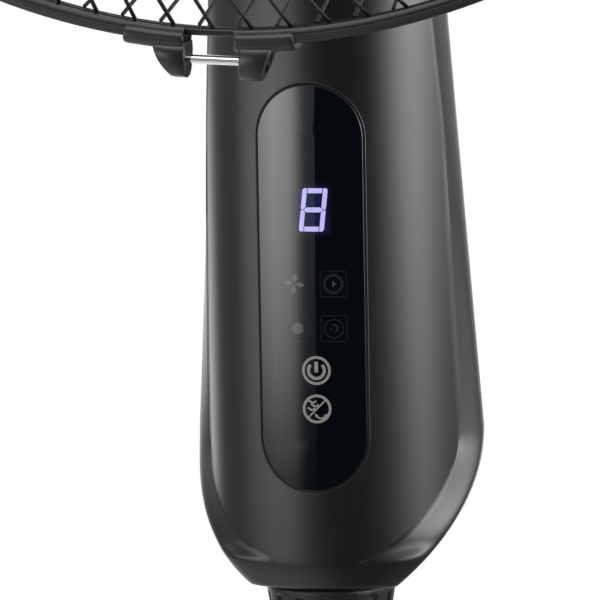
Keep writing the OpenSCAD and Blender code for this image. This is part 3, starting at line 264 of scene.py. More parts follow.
def finished(piece, kind, **values):
    """Adds a modifier, sets it and applies it."""
    only(piece)
    modifier = piece.modifiers.new(kind.title(), kind)
    for key, value in values.items():
        setattr(modifier, key, value)
    bpy.ops.object.modifier_apply(modifier=modifier.name)
    return piece


def smooth(piece, angle=30.0):
    only(piece)
    bpy.ops.object.shade_smooth_by_angle(angle=radians(angle))
    return piece


def joined(name, pieces):
    """Several pieces as one."""
    start()
    for piece in pieces:
        piece.select_set(True)
    bpy.context.view_layer.objects.active = pieces[0]
    if len(pieces) > 1:
        bpy.ops.object.join()
    return added(name)


def copied(piece, matrix):
    """A copy with its own mesh, moved by a matrix."""
    copy = piece.copy()
    copy.data = piece.data.copy()
    copy.data.transform(matrix)
    bpy.context.scene.collection.objects.link(copy)
    return copy


def net(name, across, along, place, fill=True):
    """A net of across by along faces, with each corner moved to place(a, b), a and b from 0 to 1."""
    start()
    bpy.ops.mesh.primitive_grid_add(x_subdivisions=across, y_subdivisions=along, size=1.0)
    piece = added(name)
    for corner in piece.data.vertices:
        corner.co = place(corner.co.x + 0.5, corner.co.y + 0.5)
    return closed(piece, fill)


def skin(name, outline, rows, place, fill=True):
    """A skin with a closed outline round it and one ring for each row: place(point, row) is a corner."""
    count, last = len(outline), len(rows) - 1

    def corner(a, b):
        return place(outline[round(a * count) % count], rows[round(b * last)])

    return net(name, count, last, corner, fill)


def round_angles(steps):
    return [2 * pi * i / steps for i in range(steps)]


def turned(name, outline, steps, place, centre, axis):
    """A closed outline of (radius, height) points spun once round an axis."""
    start()
    bpy.ops.mesh.primitive_circle_add(vertices=len(outline), radius=0.01)
    piece = added(name)
    for corner, (radius, height) in zip(piece.data.vertices, outline):
        corner.co = place(radius, height)
    with editing(piece):
        bpy.ops.mesh.spin(steps=steps, angle=2 * pi, center=centre, axis=axis)
    return closed(piece, fill=False)


def turned_upright(name, outline, steps=128):
    return turned(name, outline, steps, lambda r, z: (r, 0.0, z), (0, 0, 0), (0, 0, 1))


def turned_on_fan(name, outline, steps=128):
    """The same round the fan axis, where height is the distance in front of the pole."""
    return turned(name, outline, steps, lambda r, d: (r, -d, FAN_Z), (0, 0, FAN_Z), (0, 1, 0))


def rounded(corners, steps=5):
    """A closed outline of (x, y, radius) corners with each corner rounded by its radius."""
    points = []
    count = len(corners)
    for i, (x, y, radius) in enumerate(corners):
        here = Vector((x, y))
        before = Vector(corners[i - 1][:2]) - here
        after = Vector(corners[(i + 1) % count][:2]) - here
        if radius <= 0:
            points.append((x, y))
            continue
        half = before.angle(after) / 2
        reach = min(radius / tan(half), 0.48 * before.length, 0.48 * after.length)
        radius = reach * tan(half)
        middle = here + (before.normalized() + after.normalized()).normalized() * radius / sin(half)
        first = here + before.normalized() * reach - middle
        final = here + after.normalized() * reach - middle
        swing = first.angle_signed(final)
        for k in range(steps + 1):
            arm = first.copy()
            arm.rotate(Matrix.Rotation(-swing * k / steps, 2))
            points.append(tuple(middle + arm))
    return points


def on_fan(point):
    """A point of the head's own frame, x right, y up and z forward, in the row frame."""
    return Vector((point[0], -point[2], FAN_Z + point[1]))


def about_fan(angle):
    """A turn about the fan axis, anticlockwise as seen from the front."""
    middle = Matrix.Translation((0, 0, FAN_Z))
    return middle @ Matrix.Rotation(angle, 4, (0, -1, 0)) @ middle.inverted()


def cut(piece, tool):
    """Takes a closed tool out of a piece and removes the tool."""
    finished(piece, "BOOLEAN", operation="DIFFERENCE", solver="EXACT", object=tool)
    bpy.data.objects.remove(tool, do_unlink=True)
    return piece


def rod(name, radius, foot, tip, steps=32):
    """A plain closed cylinder from foot to tip, for cutting holes."""
    start()
    foot, tip = Vector(foot), Vector(tip)
    arm = tip - foot
    bpy.ops.mesh.primitive_cylinder_add(
        vertices=steps, radius=radius, depth=arm.length, location=(foot + tip) / 2,
        rotation=arm.to_track_quat("Z", "Y").to_euler())
    return settled(added(name))


# ---------------------------------------------------------------- finishes

def feed(tree, socket, value):
    """Links an output to a socket, or sets the socket to a constant."""
    if isinstance(value, bpy.types.NodeSocket):
        tree.links.new(value, socket)
    else:
        socket.default_value = value


def node(tree, kind, place, inputs=None, **values):
    """Adds a node with its own values, and feeds its inputs constants or other nodes' outputs."""
    made = tree.nodes.new(kind)
    made.location = place
    for key, value in values.items():
        setattr(made, key, value)
    for key, value in (inputs or {}).items():
        feed(tree, made.inputs[key], value)
    return made


def bare_material(name):
    """A new material, and its tree with nothing in it."""
    made = bpy.data.materials.new(name)
    made.use_nodes = True
    made.node_tree.nodes.clear()
    return made, made.node_tree


def finish(name, base, roughness, metallic=0.0, grain=900.0, relief=0.02, shade=0.12, spread=0.05,
           fine=0.00006, **shader_values):
    """A moulded, coated or metal surface: mottled colour, uneven gloss and a fine relief.

    grain is the scale of the relief's noise, relief its strength, fine its height in metres,
    shade how far the colour strays and spread how far the roughness strays."""
    made, tree = bare_material(name)
    where = node(tree, "ShaderNodeTexCoord", (-900, 0)).outputs["Object"]

    def noise(height, scale, detail):
        return node(tree, "ShaderNodeTexNoise", (-600, height),
                    {"Scale": scale, "Detail": detail, "Vector": where}).outputs["Fac"]

    tint = node(tree, "ShaderNodeMix", (-200, 250),
                {"A": (*[c * (1 - shade) for c in base], 1),
                 "B": (*[min(1, c * (1 + shade)) for c in base], 1),
                 "Factor": noise(250, 22.0, 3.0)}, data_type="RGBA")
    level = node(tree, "ShaderNodeMapRange", (-200, 0),
                 {"To Min": max(0.0, roughness - spread), "To Max": min(1.0, roughness + spread),
                  "Value": noise(0, 60.0, 4.0)})
    bump = node(tree, "ShaderNodeBump", (100, -300),
                {"Strength": relief, "Distance": fine, "Height": noise(-300, grain, 2.0)})
    shader = node(tree, "ShaderNodeBsdfPrincipled", (400, 0),
                  {"Metallic": metallic, "Base Color": tint.outputs["Result"],
                   "Roughness": level.outputs["Result"], "Normal": bump.outputs["Normal"]})
    for key, value in shader_values.items():
        shader.inputs[key.replace("_", " ")].default_value = value
    node(tree, "ShaderNodeOutputMaterial", (700, 0), {0: shader.outputs[0]})
    return made


def look(name):
    return getattr(bpy.context.scene.fan_finish, name)


def satin_housing():
    """Charcoal plastic with a fine even spark, as of a housing moulded in a blasted tool."""
    return finish("satin_housing", look("housing"), 0.31, relief=0.22, grain=2600.0,
                  spread=0.03, fine=0.00003, Specular_IOR_Level=0.62)


def satin_black():
    return finish("satin_black", look("black"), 0.38, relief=0.25, grain=2200.0,
                  fine=0.00004, Specular_IOR_Level=0.5)


def deep_black():
    """Near-black plastic of the collar, knob and nuts."""
    return finish("deep_black", (0.006, 0.006, 0.0065), 0.42, relief=0.3, grain=1800.0, fine=0.00005)


def hoop_black():
    return finish("hoop_black", (0.012, 0.012, 0.0125), 0.33, relief=0.2, grain=1500.0, fine=0.00005,
                  Specular_IOR_Level=0.6)


def wire_coating():
    """Powder coat, slightly pebbled."""
    return finish("wire_coating", look("coating"), 0.34, relief=0.35, grain=1300.0,
                  fine=0.00008)


def tube_coating():
    return finish("tube_coating", (0.011, 0.011, 0.012), 0.3, relief=0.3, grain=1100.0, fine=0.00007,
                  Coat_Weight=0.2, Coat_Roughness=0.25)


def lens_acrylic(name="lens_acrylic"):
    """Polished black acrylic, with the faintest haze."""
    return finish(name, look("lens"), 0.03, relief=0.02, grain=300.0,
                  spread=0.008, fine=0.00001, shade=0.05, Specular_IOR_Level=0.5)


# A near-black matte strip that stands for the shade in the gap round the lens: painted shade.
def gasket_black():
    return finish("gasket_black", (0.0012, 0.0012, 0.0014), 0.6, relief=0.3, grain=1800.0,
                  Specular_IOR_Level=0.2)


def tinted_blade():
    return finish("tinted_blade", look("blade"), 0.2, relief=0.06, grain=700.0,
                  Coat_Weight=0.4, Coat_Roughness=0.08)


def object_place(tree):
    """The output of a finish's tree that gives the place on the object."""
    return next(n for n in tree.nodes if n.type == "TEX_COORD").outputs["Object"]


def emitting(made, light, strength):
    """Lets a finish give off light; both values are constants or outputs of its tree."""
    tree = made.node_tree
    shader = next(n for n in tree.nodes if n.type == "BSDF_PRINCIPLED")
    feed(tree, shader.inputs["Emission Color"], light)
    feed(tree, shader.inputs["Emission Strength"], strength)
    return made


def glowing(name, base, strength):
    """Light that leaves the lens through a printed window, slightly uneven, under the same gloss. The digit
    is a real lamp; the printed icons that use this glow as painted light.
    """
    made = finish(name, [c * 0.2 for c in base], 0.12, relief=0.02, grain=500.0, spread=0.01)
    tree = made.node_tree
    cells = node(tree, "ShaderNodeTexNoise", (-600, -600), {"Scale": 700.0, "Vector": object_place(tree)})
    level = node(tree, "ShaderNodeMix", (-200, -600),
                 {"A": (*[c * 0.9 for c in base], 1), "B": (*base, 1), "Factor": cells.outputs["Fac"]},
                 data_type="RGBA")
    return emitting(made, level.outputs["Result"], strength)


def lens_glow(middle, base):
    """The lens's acrylic with a faint light in it that fades away from a place."""
    made = lens_acrylic("lens_glow")
    tree = made.node_tree
    split = node(tree, "ShaderNodeSeparateXYZ", (-900, -700), {0: object_place(tree)}).outputs

    def fading(axis, centre, inside, outside):
        off = node(tree, "ShaderNodeMath", (-700, -700), {0: split[axis], 1: centre}, operation="SUBTRACT")
        away = node(tree, "ShaderNodeMath", (-550, -700), {0: off.outputs[0]}, operation="ABSOLUTE")
        return node(tree, "ShaderNodeMapRange", (-400, -700),
                    {"Value": away.outputs[0], "From Min": inside, "From Max": outside,
                     "To Min": 1.0, "To Max": 0.0}, interpolation_type="SMOOTHSTEP").outputs[0]

    both = node(tree, "ShaderNodeMath", (-200, -700),
                {0: fading("X", middle.x, 3.4 * MM, 6.6 * MM), 1: fading("Z", middle.z, 5.8 * MM, 9.6 * MM)},
                operation="MULTIPLY")
    return emitting(made, (*base, 1), both.outputs[0])


def metal(name, base, roughness, grain=500.0, relief=0.1, brushed=0.0):
    return finish(name, base, roughness, metallic=1.0, grain=grain, relief=relief, shade=0.06,
                  spread=min(0.06, roughness * 0.5), Anisotropic=brushed)


def frame_finishes():
    """The finish of each CAD node that shows as it is, by its material slot."""
    return {
        "black_plastic": satin_black(),
        "housing_plastic": satin_housing(),
        "collar_plastic": deep_black(),
        "hoop_plastic": hoop_black(),
        "grey_plastic": finish("grey_plastic", (0.24, 0.24, 0.25), 0.48, relief=0.2, grain=1500.0),
        "gear_plastic": finish("acetal", (0.62, 0.61, 0.57), 0.35, relief=0.08, Subsurface_Weight=0.05),
        "blade_plastic": tinted_blade(),
        "lens_black": lens_acrylic(),
        "digit_glow": glowing("lamp_glow", (0.72, 0.68, 1.0), 1.0),
        "circuit_board": finish("solder_mask", (0.012, 0.075, 0.035), 0.28, relief=0.3, grain=260.0,
                                Coat_Weight=0.5),
        "rubber": finish("rubber", (0.012, 0.012, 0.012), 0.7, relief=0.4, grain=1600.0,
                         Specular_IOR_Level=0.3),
        "black_paint": tube_coating(),
        "painted_plate": finish("painted_plate", (0.02, 0.02, 0.021), 0.5, relief=0.5, grain=800.0),
        "guard_coating": wire_coating(),
        "cast_weight": finish("cast_weight", (0.05, 0.048, 0.045), 0.75, metallic=0.3, relief=0.9,
                              grain=420.0, fine=0.0003, shade=0.3),
        "cast_alloy": metal("cast_alloy", (0.42, 0.42, 0.43), 0.45, grain=900.0, relief=0.3),
        "zinc_steel": metal("zinc_steel", (0.55, 0.56, 0.58), 0.26),
        "shaft_steel": metal("shaft_steel", (0.6, 0.61, 0.63), 0.16, brushed=0.4),
        "stator_iron": metal("stator_iron", (0.3, 0.3, 0.31), 0.5, grain=1400.0, relief=0.4),
        "rotor_iron": metal("rotor_iron", (0.38, 0.38, 0.4), 0.4, grain=1200.0, relief=0.3),
        "bearing_bronze": metal("bearing_bronze", (0.45, 0.28, 0.11), 0.35),
        "chrome_tube": metal("chrome_tube", (0.72, 0.73, 0.75), 0.07, relief=0.02),
        "chrome_screw": metal("chrome_screw", (0.86, 0.87, 0.88), 0.12, relief=0.04),
    }


def paint(piece, material):
    """Gives every slot of a piece one material."""
    if not piece.material_slots:
        piece.data.materials.append(material)
    for slot in piece.material_slots:
        slot.material = material
    return piece


def placed(piece, body, slot, material, *nodes):
    """A finished piece: painted, riding on its body and standing for its CAD nodes."""
    paint(piece, material)
    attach(piece, body)
    if nodes:
        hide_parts(*nodes)
    return piece


# ---------------------------------------------------------------- housing outline

def levelling(x, power):
    """Share of a rise that starts steeply and levels out at x = 1."""
    return 1 - (1 - min(max(x, 0), 1)) ** power


class Outline:
    """The housing's horizontal outline at each height u above its underside."""

    side_rise, crease_rise, back_rise, foot_rise = 2.45, 2.2, 1.7, 1.8  # how fast each levels out upwards
    crease_foot = 14 * MM  # distance of a crease from the middle where it begins
    crease_ease = 0.06     # how gently it leaves that place
    foot_y = -11 * MM      # how far back the widest place lies at the underside
    fade_u = 16 * MM       # height over which a crease gains its full depth
    ledge_most = 0.8 * MM  # widest ledge
    ledge_slope = 1.1      # how fast the ledge goes back
    steepest = radians(84)
    turn_most = 0.75       # share of the flank's depth within which it turns at the latest
    middle_y = 12 * MM     # the place that the rounded top draws in to
    fullness = 0.83        # how full the back is: 1 would be an ellipse

    def __init__(self):
        self.s = bpy.context.scene.fan_housing

    def half_width(self, u):
        s = self.s
        if u < s.wide_u:
            return s.under_w + (s.wide_w - s.under_w) * levelling(u / s.wide_u, self.side_rise)
        return (s.wide_w - s.side_taper * (u - s.wide_u)
                + s.upright * max(0, u - s.upright_u) ** 2)

    def crease_x(self, u):
        """Distance of a crease from the middle."""
        s = self.s
        if u < s.wide_u:
            rise = levelling((u - s.crease_u) / (s.wide_u - s.crease_u), self.crease_rise)
            rise = (1 + self.crease_ease) * rise * rise / (rise + self.crease_ease)
            return sqrt(self.crease_foot ** 2 * (1 - rise) + (s.wide_w - s.crease_gap) ** 2 * rise)
        gap = max(s.crease_least, s.crease_gap - s.crease_fall * (u - s.wide_u))
        return self.half_width(u) - gap

    def widest_y(self, u):
        """How far back the widest place lies."""
        s = self.s
        if u < s.wide_u:
            at = u / s.wide_u
            return self.foot_y + (s.shoulder_y - self.foot_y) * at * at * (3 - 2 * at)
        return s.shoulder_y - s.shoulder_fall * (u - s.wide_u)

    def half(self, u, front=30, flank=14, back=30):
        """The right half from the front to the back, as (x, y) points: face, flank and back."""
        s = self.s
        side_x, side_y = self.half_width(u), self.widest_y(u)
        back_y = s.under_w + (HOUSING_BACK - s.under_w) * levelling(u / s.wide_u, self.back_rise)
        foot = 1 - min(1, u / s.foot_round)
        face_y = (-FACE_FRONT + s.skirt_in * (1 - levelling(u / s.crease_u, self.foot_rise))
                  + s.foot_round * (1 - sqrt(1 - foot * foot)))
        crease_x = self.crease_x(u)
        span = asin(crease_x / s.face_r)
        fade = min(1, max(0, u - s.crease_u) / self.fade_u)
        ledge = min(s.ledge_share * (side_x - crease_x), self.ledge_most) * fade
        ledge_x = crease_x + ledge
        ledge_y = face_y + s.face_r - s.face_r * cos(span) + self.ledge_slope * ledge
        steep = tan(min(span + s.crease_bend * fade, self.steepest))
        turn_y = ledge_y + min((side_x - ledge_x) * steep, self.turn_most * (side_y - ledge_y))
        points = []
        for i in range(front + 1):
            t = span * i / front
            points.append((s.face_r * sin(t), face_y + s.face_r - s.face_r * cos(t)))
        for i in range(flank):
            t = i / flank
            points.append(((1 - t) ** 2 * ledge_x + (2 - t) * t * side_x,
                           (1 - t) ** 2 * ledge_y + 2 * t * (1 - t) * turn_y + t * t * side_y))
        for i in range(back + 1):
            t = pi / 2 * i / back
            points.append((side_x * max(cos(t), 0) ** self.fullness,
                           side_y + (back_y - side_y) * sin(t) ** self.fullness))
        return points

    def ring(self, u, z=None, inwards=0.0):
        """The whole outline, at a height z above the underside, drawn in at the sides."""
        right = self.half(u)
        left = [(-x, y) for x, y in reversed(right[1:-1])]
        shrink = 1 - inwards / self.half_width(u)
        height = HOUSING_Z + (u if z is None else z)
        return [Vector((x * shrink, self.middle_y + (y - self.middle_y) * shrink, height))
                for x, y in right + left]

    def rings(self, low_rows=38, high_rows=44, top_rows=12):
        """The outlines from the underside to the rounded top."""
        s = self.s
        shoulder = HOUSING_TOP - HOUSING_Z - s.top_round
        rows = [self.ring(s.wide_u * (i / low_rows) ** 1.5) for i in range(low_rows + 1)]
        rows += [self.ring(s.wide_u + (shoulder - s.wide_u) * i / high_rows)
                 for i in range(1, high_rows + 1)]
        for i in range(1, top_rows + 1):
            t = pi / 2 * i / top_rows
            rows.append(self.ring(shoulder, shoulder + s.top_round * sin(t), s.top_round * (1 - cos(t))))
        return rows


def halved(piece, y, keep_front):
    """Keeps the part of a closed piece in front of or behind an upright plane, and closes the cut."""
    with editing(piece):
        bpy.ops.mesh.bisect(plane_co=(0, y, 0), plane_no=(0, 1, 0), use_fill=True,
                            clear_outer=keep_front, clear_inner=not keep_front)
        bpy.ops.mesh.select_all(action="SELECT")
        bpy.ops.mesh.normals_make_consistent(inside=False)
    return piece


class FAN_OT_housing(bpy.types.Operator):
    """Models the two shells of the control housing"""
    bl_idname = "fan.housing"
    bl_label = "Housing shells"

    def execute(self, context):
        seam = context.scene.fan_housing.seam
        satin = satin_housing()
        rings = Outline().rings()
        front = skin("housing_shell_front", range(len(rings[0])), rings, lambda i, ring: ring[i])
        rear = copied(front, Matrix.Identity(4))
        rear.name = "housing_shell_rear"
        halved(front, PARTING_Y - seam / 2, True)
        halved(rear, PARTING_Y + seam / 2, False)
        screw_bore, knob_bore, behind = 3.1 * MM, 3.4 * MM, 70 * MM
        for x, z in self.screw_places():
            cut(rear, rod("bore", screw_bore, (x, 31 * MM, z), (x, behind, z)))
        cut(rear, rod("knob_bore", knob_bore, (0, 30 * MM, KNOB_Z), (0, behind, KNOB_Z), 48))
        for piece, name in ((front, "housing_front"), (rear, "housing_rear")):
            smooth(piece, 28)
            placed(piece, "mast", "housing_plastic", satin, name)
        return {"FINISHED"}

    def screw_places(self):
        """(x, z) of the four screws, the lower and then the upper one of each side."""
        lowest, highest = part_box("housing_screws")
        head_r, upper_x = 2.8 * MM, 25 * MM
        return [(side * x, z) for side in (-1, 1)
                for x, z in ((highest[0] - head_r, lowest[2] + head_r), (upper_x, highest[2] - head_r))]


# ---------------------------------------------------------------- lens and display

class Face:
    """The curved face of the housing: a place seen from the front, at a depth below the face."""

    def __init__(self):
        self.radius = bpy.context.scene.fan_housing.face_r
        self.axis_y = self.radius - FACE_FRONT

    def at(self, x, z, depth=0.0):
        return Vector((x, self.axis_y - sqrt((self.radius - depth) ** 2 - x * x), z))


def stadium(name, section):
    """A closed strip round the lens outline: section is (distance inside the edge, depth) points."""
    s = bpy.context.scene.fan_lens
    face = Face()
    half = LENS_HALF - s.inset
    highest = LENS_HIGH[2] - s.top_inset
    middle = (highest + LENS_LOW[2]) / 2
    straight = (highest - LENS_LOW[2]) / 2 - half
    round_steps, straight_steps = 42, 14
    rim = []
    for sign in (1, -1):
        for i in range(round_steps + 1):
            t = pi * i / round_steps
            rim.append((sign * cos(t), sign * sin(t), sign * straight))
        for i in range(1, straight_steps):
            rim.append((-sign, 0.0, sign * straight * (1 - 2 * i / straight_steps)))

    def place(way, row):
        reach = max(half - row[0], 0.0)
        return face.at(way[0] * reach, middle + way[2] + way[1] * reach, row[1])

    return skin(name, rim, section, place, fill=False)


def stroke(name, path, width, taper=None):
    """A flat line along a path of (x, z) points; taper gives the share of its width at a share of its way."""
    last = len(path) - 1

    def along(b):
        at = b * last
        i = min(int(at), last - 1)
        first, second = Vector(path[i]), Vector(path[i + 1])
        before = Vector(path[max(i - 1, 0)])
        after = Vector(path[min(i + 2, last)])
        t = at - i
        way = ((second - before) * (1 - t) + (after - first) * t).normalized()
        return first.lerp(second, t), way

    def place(a, b):
        middle, way = along(b)
        reach = (a - 0.5) * width * (taper(b) if taper else 1.0)
        return (middle.x - way.y * reach, 0.0, middle.y + way.x * reach)

    return net(name, 2, last, place, fill=False)


def circle_path(x, z, radius, start_angle=0.0, end_angle=360.0, steps=40):
    angles = [radians(start_angle + (end_angle - start_angle) * i / steps) for i in range(steps + 1)]
    return [(x + radius * cos(angle), z + radius * sin(angle)) for angle in angles]


def line_path(first, second, steps=8):
    first, second = Vector(first), Vector(second)
    return [tuple(first.lerp(second, i / steps)) for i in range(steps + 1)]


def thickened(piece, thickness):
    """Turns the faces of a flat piece to the front and gives it a thickness behind them."""
    for polygon in piece.data.polygons:
        if polygon.normal.y > 0:
            polygon.flip()
    return finished(piece, "SOLIDIFY", thickness=thickness, offset=-1.0)


def inlaid(name, strokes, lift):
    """Joins flat strokes, bends them on to the lens and gives them a thickness."""
    piece = joined(name, strokes)
    face = Face()
    for corner in piece.data.vertices:
        corner.co = face.at(corner.co.x, corner.co.z, -lift)
    with editing(piece):
        bpy.ops.mesh.remove_doubles(threshold=1e-6)
        bpy.ops.mesh.normals_make_consistent(inside=False)
    return thickened(piece, 0.03 * MM)


class FAN_OT_lens(bpy.types.Operator):
    """Models the display lens and the dark seam round it, which is a near-black strip of painted shade"""
    bl_idname = "fan.lens"
    bl_label = "Display lens"

    def execute(self, context):
        s = context.scene.fan_lens
        placed(self.lens(s), "mast", "lens_black", lens_acrylic(), "display_lens")
        # The dark seam is painted shade: a near-black strip where the gap round the lens is in shade.
        placed(self.gasket(s), "mast", "lens_black", gasket_black())
        placed(self.recess_edge(s), "mast", "housing_plastic", satin_housing())
        return {"FINISHED"}

    def lens(self, s):
        """The polished plate: two rows close to its rounded edge keep its face even."""
        half, top, floor = LENS_HALF - s.inset, -s.proud, 1.6 * MM
        section = [(half * share_in, top) for share_in in (1, 0.8, 0.6, 0.4, 0.25, 0.12)]
        section += [(s.edge + 0.25 * MM, top), (s.edge + 0.06 * MM, top)]
        section += [(s.edge * (1 - sin(pi / 2 * k / 5)), top + s.edge * (1 - cos(pi / 2 * k / 5)))
                    for k in range(6)]
        section += [(0.0, floor), (half * 0.5, floor), (half, floor)]
        return smooth(stadium("lens", section), 40)

    def gasket(self, s):
        """The dark seam round the lens: a near-black strip, painted shade in place of the shaded gap between
        lens and housing.
        """
        tuck, top, floor = 0.02 * MM, -0.05 * MM, 0.5 * MM
        return smooth(stadium("lens_gasket", [(tuck, floor), (tuck, top), (-s.gasket, top),
                                              (-s.gasket, floor), (tuck, floor)]))

    def recess_edge(self, s):
        """The fine lip of the housing round the seam."""
        out, floor = -s.gasket, 0.3 * MM
        return smooth(stadium("lens_recess_edge", [
            (out, floor), (out, -0.02 * MM), (out - 0.12 * MM, -0.09 * MM), (out - 0.3 * MM, -0.06 * MM),
            (out - 0.42 * MM, 0.02 * MM), (out - 0.42 * MM, floor), (out, floor)]), 50)


class FAN_OT_display(bpy.types.Operator):
    """Models the lit digit and the icons on the lens"""
    bl_idname = "fan.display"
    bl_label = "Digit and icons"

    def execute(self, context):
        s = context.scene.fan_lens
        lift = s.proud + 0.02 * MM

        def lit(name, strokes, material, *nodes):
            placed(inlaid(name, strokes, lift), "mast", "digit_glow", material, *nodes)

        lit("digit", self.digit(s), glowing("digit_light", look("glow"), 0.8), "digit_segments")
        placed(self.halo(s), "mast", "lens_black", lens_glow(self.middle(s), look("halo")))
        faint, pale = self.functions(s)
        # The unlit function icons glow by their own faint light: painted glow.
        lit("function_icons", faint, glowing("icon_light", look("faint"), 1.0), "indicator_leds")
        lit("function_icons_pale", pale, glowing("icon_pale", look("pale"), 1.0))
        # The printed key icons give off their own light: painted glow in place of print lit by the lamps.
        lit("key_icons", self.keys(s), glowing("key_print", look("print_painted_glow"), 0.72))
        return {"FINISHED"}

    def middle(self, s):
        return Vector((s.display_x, 0, (DIGIT_LOW[2] + DIGIT_HIGH[2]) / 2))

    def digit(self, s):
        """Seven bars that lean to the right; the uprights are round at the digit's outer corners."""
        tall = DIGIT_HIGH[2] - DIGIT_LOW[2]
        top, side = tall / 2, tall * s.digit_share / 2
        inner = side - s.side_bar
        level = inner - s.bar_gap
        tip = side - 0.85 * MM
        half, corner = s.bar / 2, 0.9 * MM
        middle = self.middle(s)
        shear = tan(s.lean)

        def bar(rows):
            """A bar through rows of (height, left, right), leant and moved to its place."""
            last = len(rows) - 1

            def place(a, b):
                z, left, right = rows[round(b * last)]
                return (middle.x + left + (right - left) * a + z * shear, 0.0, middle.z + z)

            return net("bar", 6, last, place, fill=False)

        end = level - 0.1 * MM
        bars = [bar([(-half, -end, end), (0, -tip, tip), (half, -end, end)])]
        upright = [(0.12 * MM, tip, side - 0.3 * MM), (0.4 * MM, tip - 0.2 * MM, side - 0.02 * MM),
                   (half + 0.1 * MM, inner, side), (top / 2, inner, side), (top - corner, inner, side)]
        for k in range(1, 7):
            t = pi / 2 * k / 6
            upright.append((top - corner * (1 - sin(t)), inner, side - 0.8 * MM * (1 - cos(t))))
        for k in (-1, 1):
            bars.append(bar([(k * (top - s.bar), -level, level), (k * top, -level, level)]))
            for mirror in (-1, 1):
                bars.append(bar([(k * z, min(mirror * a, mirror * b), max(mirror * a, mirror * b))
                                 for z, a, b in upright]))
        return bars

    def halo(self, s):
        """A patch of the lens round the digit, which takes up a little of its light."""
        middle = self.middle(s)
        face = Face()
        half_x, half_z = 7 * MM, 10 * MM
        lift = s.proud + 0.004 * MM

        def place(a, b):
            return face.at(middle.x + half_x * (2 * a - 1), middle.z + half_z * (2 * b - 1), -lift)

        return smooth(thickened(net("digit_halo", 28, 2, place, fill=False), 0.02 * MM), 40)

    def functions(self, s):
        """Fan speed, timer, wind and night in two rows: their faint strokes and their pale ones."""
        middle = s.display_x - 0.3 * MM
        left, right = middle - s.spacing, middle + s.spacing
        top, bottom = HOUSING_Z + 101.4 * MM, HOUSING_Z + 86.8 * MM
        hand = 0.4 * MM
        pale = self.petals(left, top) + [
            stroke("hand", line_path((right, top - 0.9 * MM), (right, top + 0.9 * MM)), hand),
            stroke("hand", line_path((right - 0.3 * MM, top), (right + 1.0 * MM, top)), hand),
            stroke("gust", circle_path(left + 0.9 * MM, bottom, 0.95 * MM), 1.85 * MM)]

        def crescent(b):
            return sin(pi * b) ** 0.8

        moon = circle_path(right - 0.1 * MM, bottom + 0.1 * MM, 1.25 * MM, -85, 125, 20)
        star = line_path((right - 1.3 * MM, bottom), (right - 0.3 * MM, bottom))
        faint = [stroke("clock", circle_path(right, top, 2.85 * MM), 1.0 * MM),
                 stroke("wind", circle_path(left, bottom, 3.1 * MM), 0.3 * MM),
                 stroke("night", circle_path(right, bottom, 3.0 * MM), 0.42 * MM),
                 stroke("moon", moon, 1.0 * MM, taper=crescent),
                 stroke("star", star, 0.7 * MM, taper=crescent)]
        faint += [stroke("frame", self.square(x, z, 4.2 * MM, 0.8 * MM), 0.24 * MM)
                  for x, z in ((right, top), (right, bottom), (left, bottom))]
        return faint, pale

    def petals(self, x, z):
        """Four petals of a small fan."""
        inner, outer, width, first = 0.5 * MM, 3.3 * MM, 1.35 * MM, 82

        def petal(b):
            if b < 0.9:
                return 0.28 + sin(pi * min(1, b * 1.12) ** 1.6)
            return 2.8 * sqrt(1 - b)

        made = []
        for i in range(4):
            a = radians(90 * i + first)
            foot, tip = [(x + r * cos(a), z + r * sin(a)) for r in (inner, outer)]
            made.append(stroke("petal", line_path(foot, tip, 14), width, taper=petal))
        return made

    def square(self, x, z, half, radius):
        corners = [(x - half, z - half, radius), (x + half, z - half, radius),
                   (x + half, z + half, radius), (x - half, z + half, radius)]
        points = rounded(corners, 4)
        dense = []
        for first, second in zip(points, points[1:] + points[:1]):
            dense += line_path(first, second, 3)[:-1]
        return dense + dense[:1]

    def keys(self, s):
        """The power key and the mode key below it."""
        x = s.display_x + 0.15 * MM
        power, mode = HOUSING_Z + 73.1 * MM, HOUSING_Z + 60.5 * MM
        ring_r, ring_w = 4.3 * MM, 0.86 * MM
        made = [stroke("ring", circle_path(x, power, ring_r, steps=64), ring_w),
                stroke("arc", circle_path(x, power, 2.6 * MM, 136, 404, 44), 1.05 * MM),
                stroke("bar", line_path((x, power + 2.9 * MM), (x, power - 0.6 * MM)), 1.2 * MM),
                stroke("ring", circle_path(x, mode, ring_r, steps=64), ring_w)]
        reach = (ring_r - ring_w / 3) * cos(radians(45))
        slash = line_path((x - reach, mode - reach), (x + reach, mode + reach), 12)
        made.append(stroke("slash", slash, 0.52 * MM))
        return made + self.waves(x, mode) + self.sweep(x + 1.35 * MM, mode - 1.35 * MM)

    def waves(self, x, z):
        """Three short waves of moving air, one above the other."""
        pitch, swing, steps = 1.2, 0.34 * MM, 18
        made = []
        for k, (left, right) in enumerate(((-2.8, -0.2), (-2.0, 0.6), (-3.1, -0.5))):
            height = z + (2.35 - pitch * k) * MM
            path = [(x + (left + (right - left) * i / steps) * MM,
                     height + swing * sin(2 * pi * 0.9 * (i / steps + 0.25))) for i in range(steps + 1)]
            made.append(stroke("wave", path, 0.6 * MM))
        return made

    def sweep(self, x, z):
        """An arc with an arrowhead at each end."""
        radius, ends = 1.75 * MM, (215, 325)
        made = [stroke("sweep", circle_path(x, z, radius, *ends, 20), 0.56 * MM)]
        for angle, lean in zip(ends, (-1, 1)):
            out = Vector((cos(radians(angle)), sin(radians(angle))))
            tip = Vector((x, z)) + out * radius
            way = Vector((-out.y, out.x)) * lean
            path = line_path(tip - way * 0.1 * MM, tip + way * 0.95 * MM, 4)
            made.append(stroke("arrow", path, 1.25 * MM, taper=lambda b: max(1 - b, 0.05)))
        return made


# ---------------------------------------------------------------- pole, collar and base

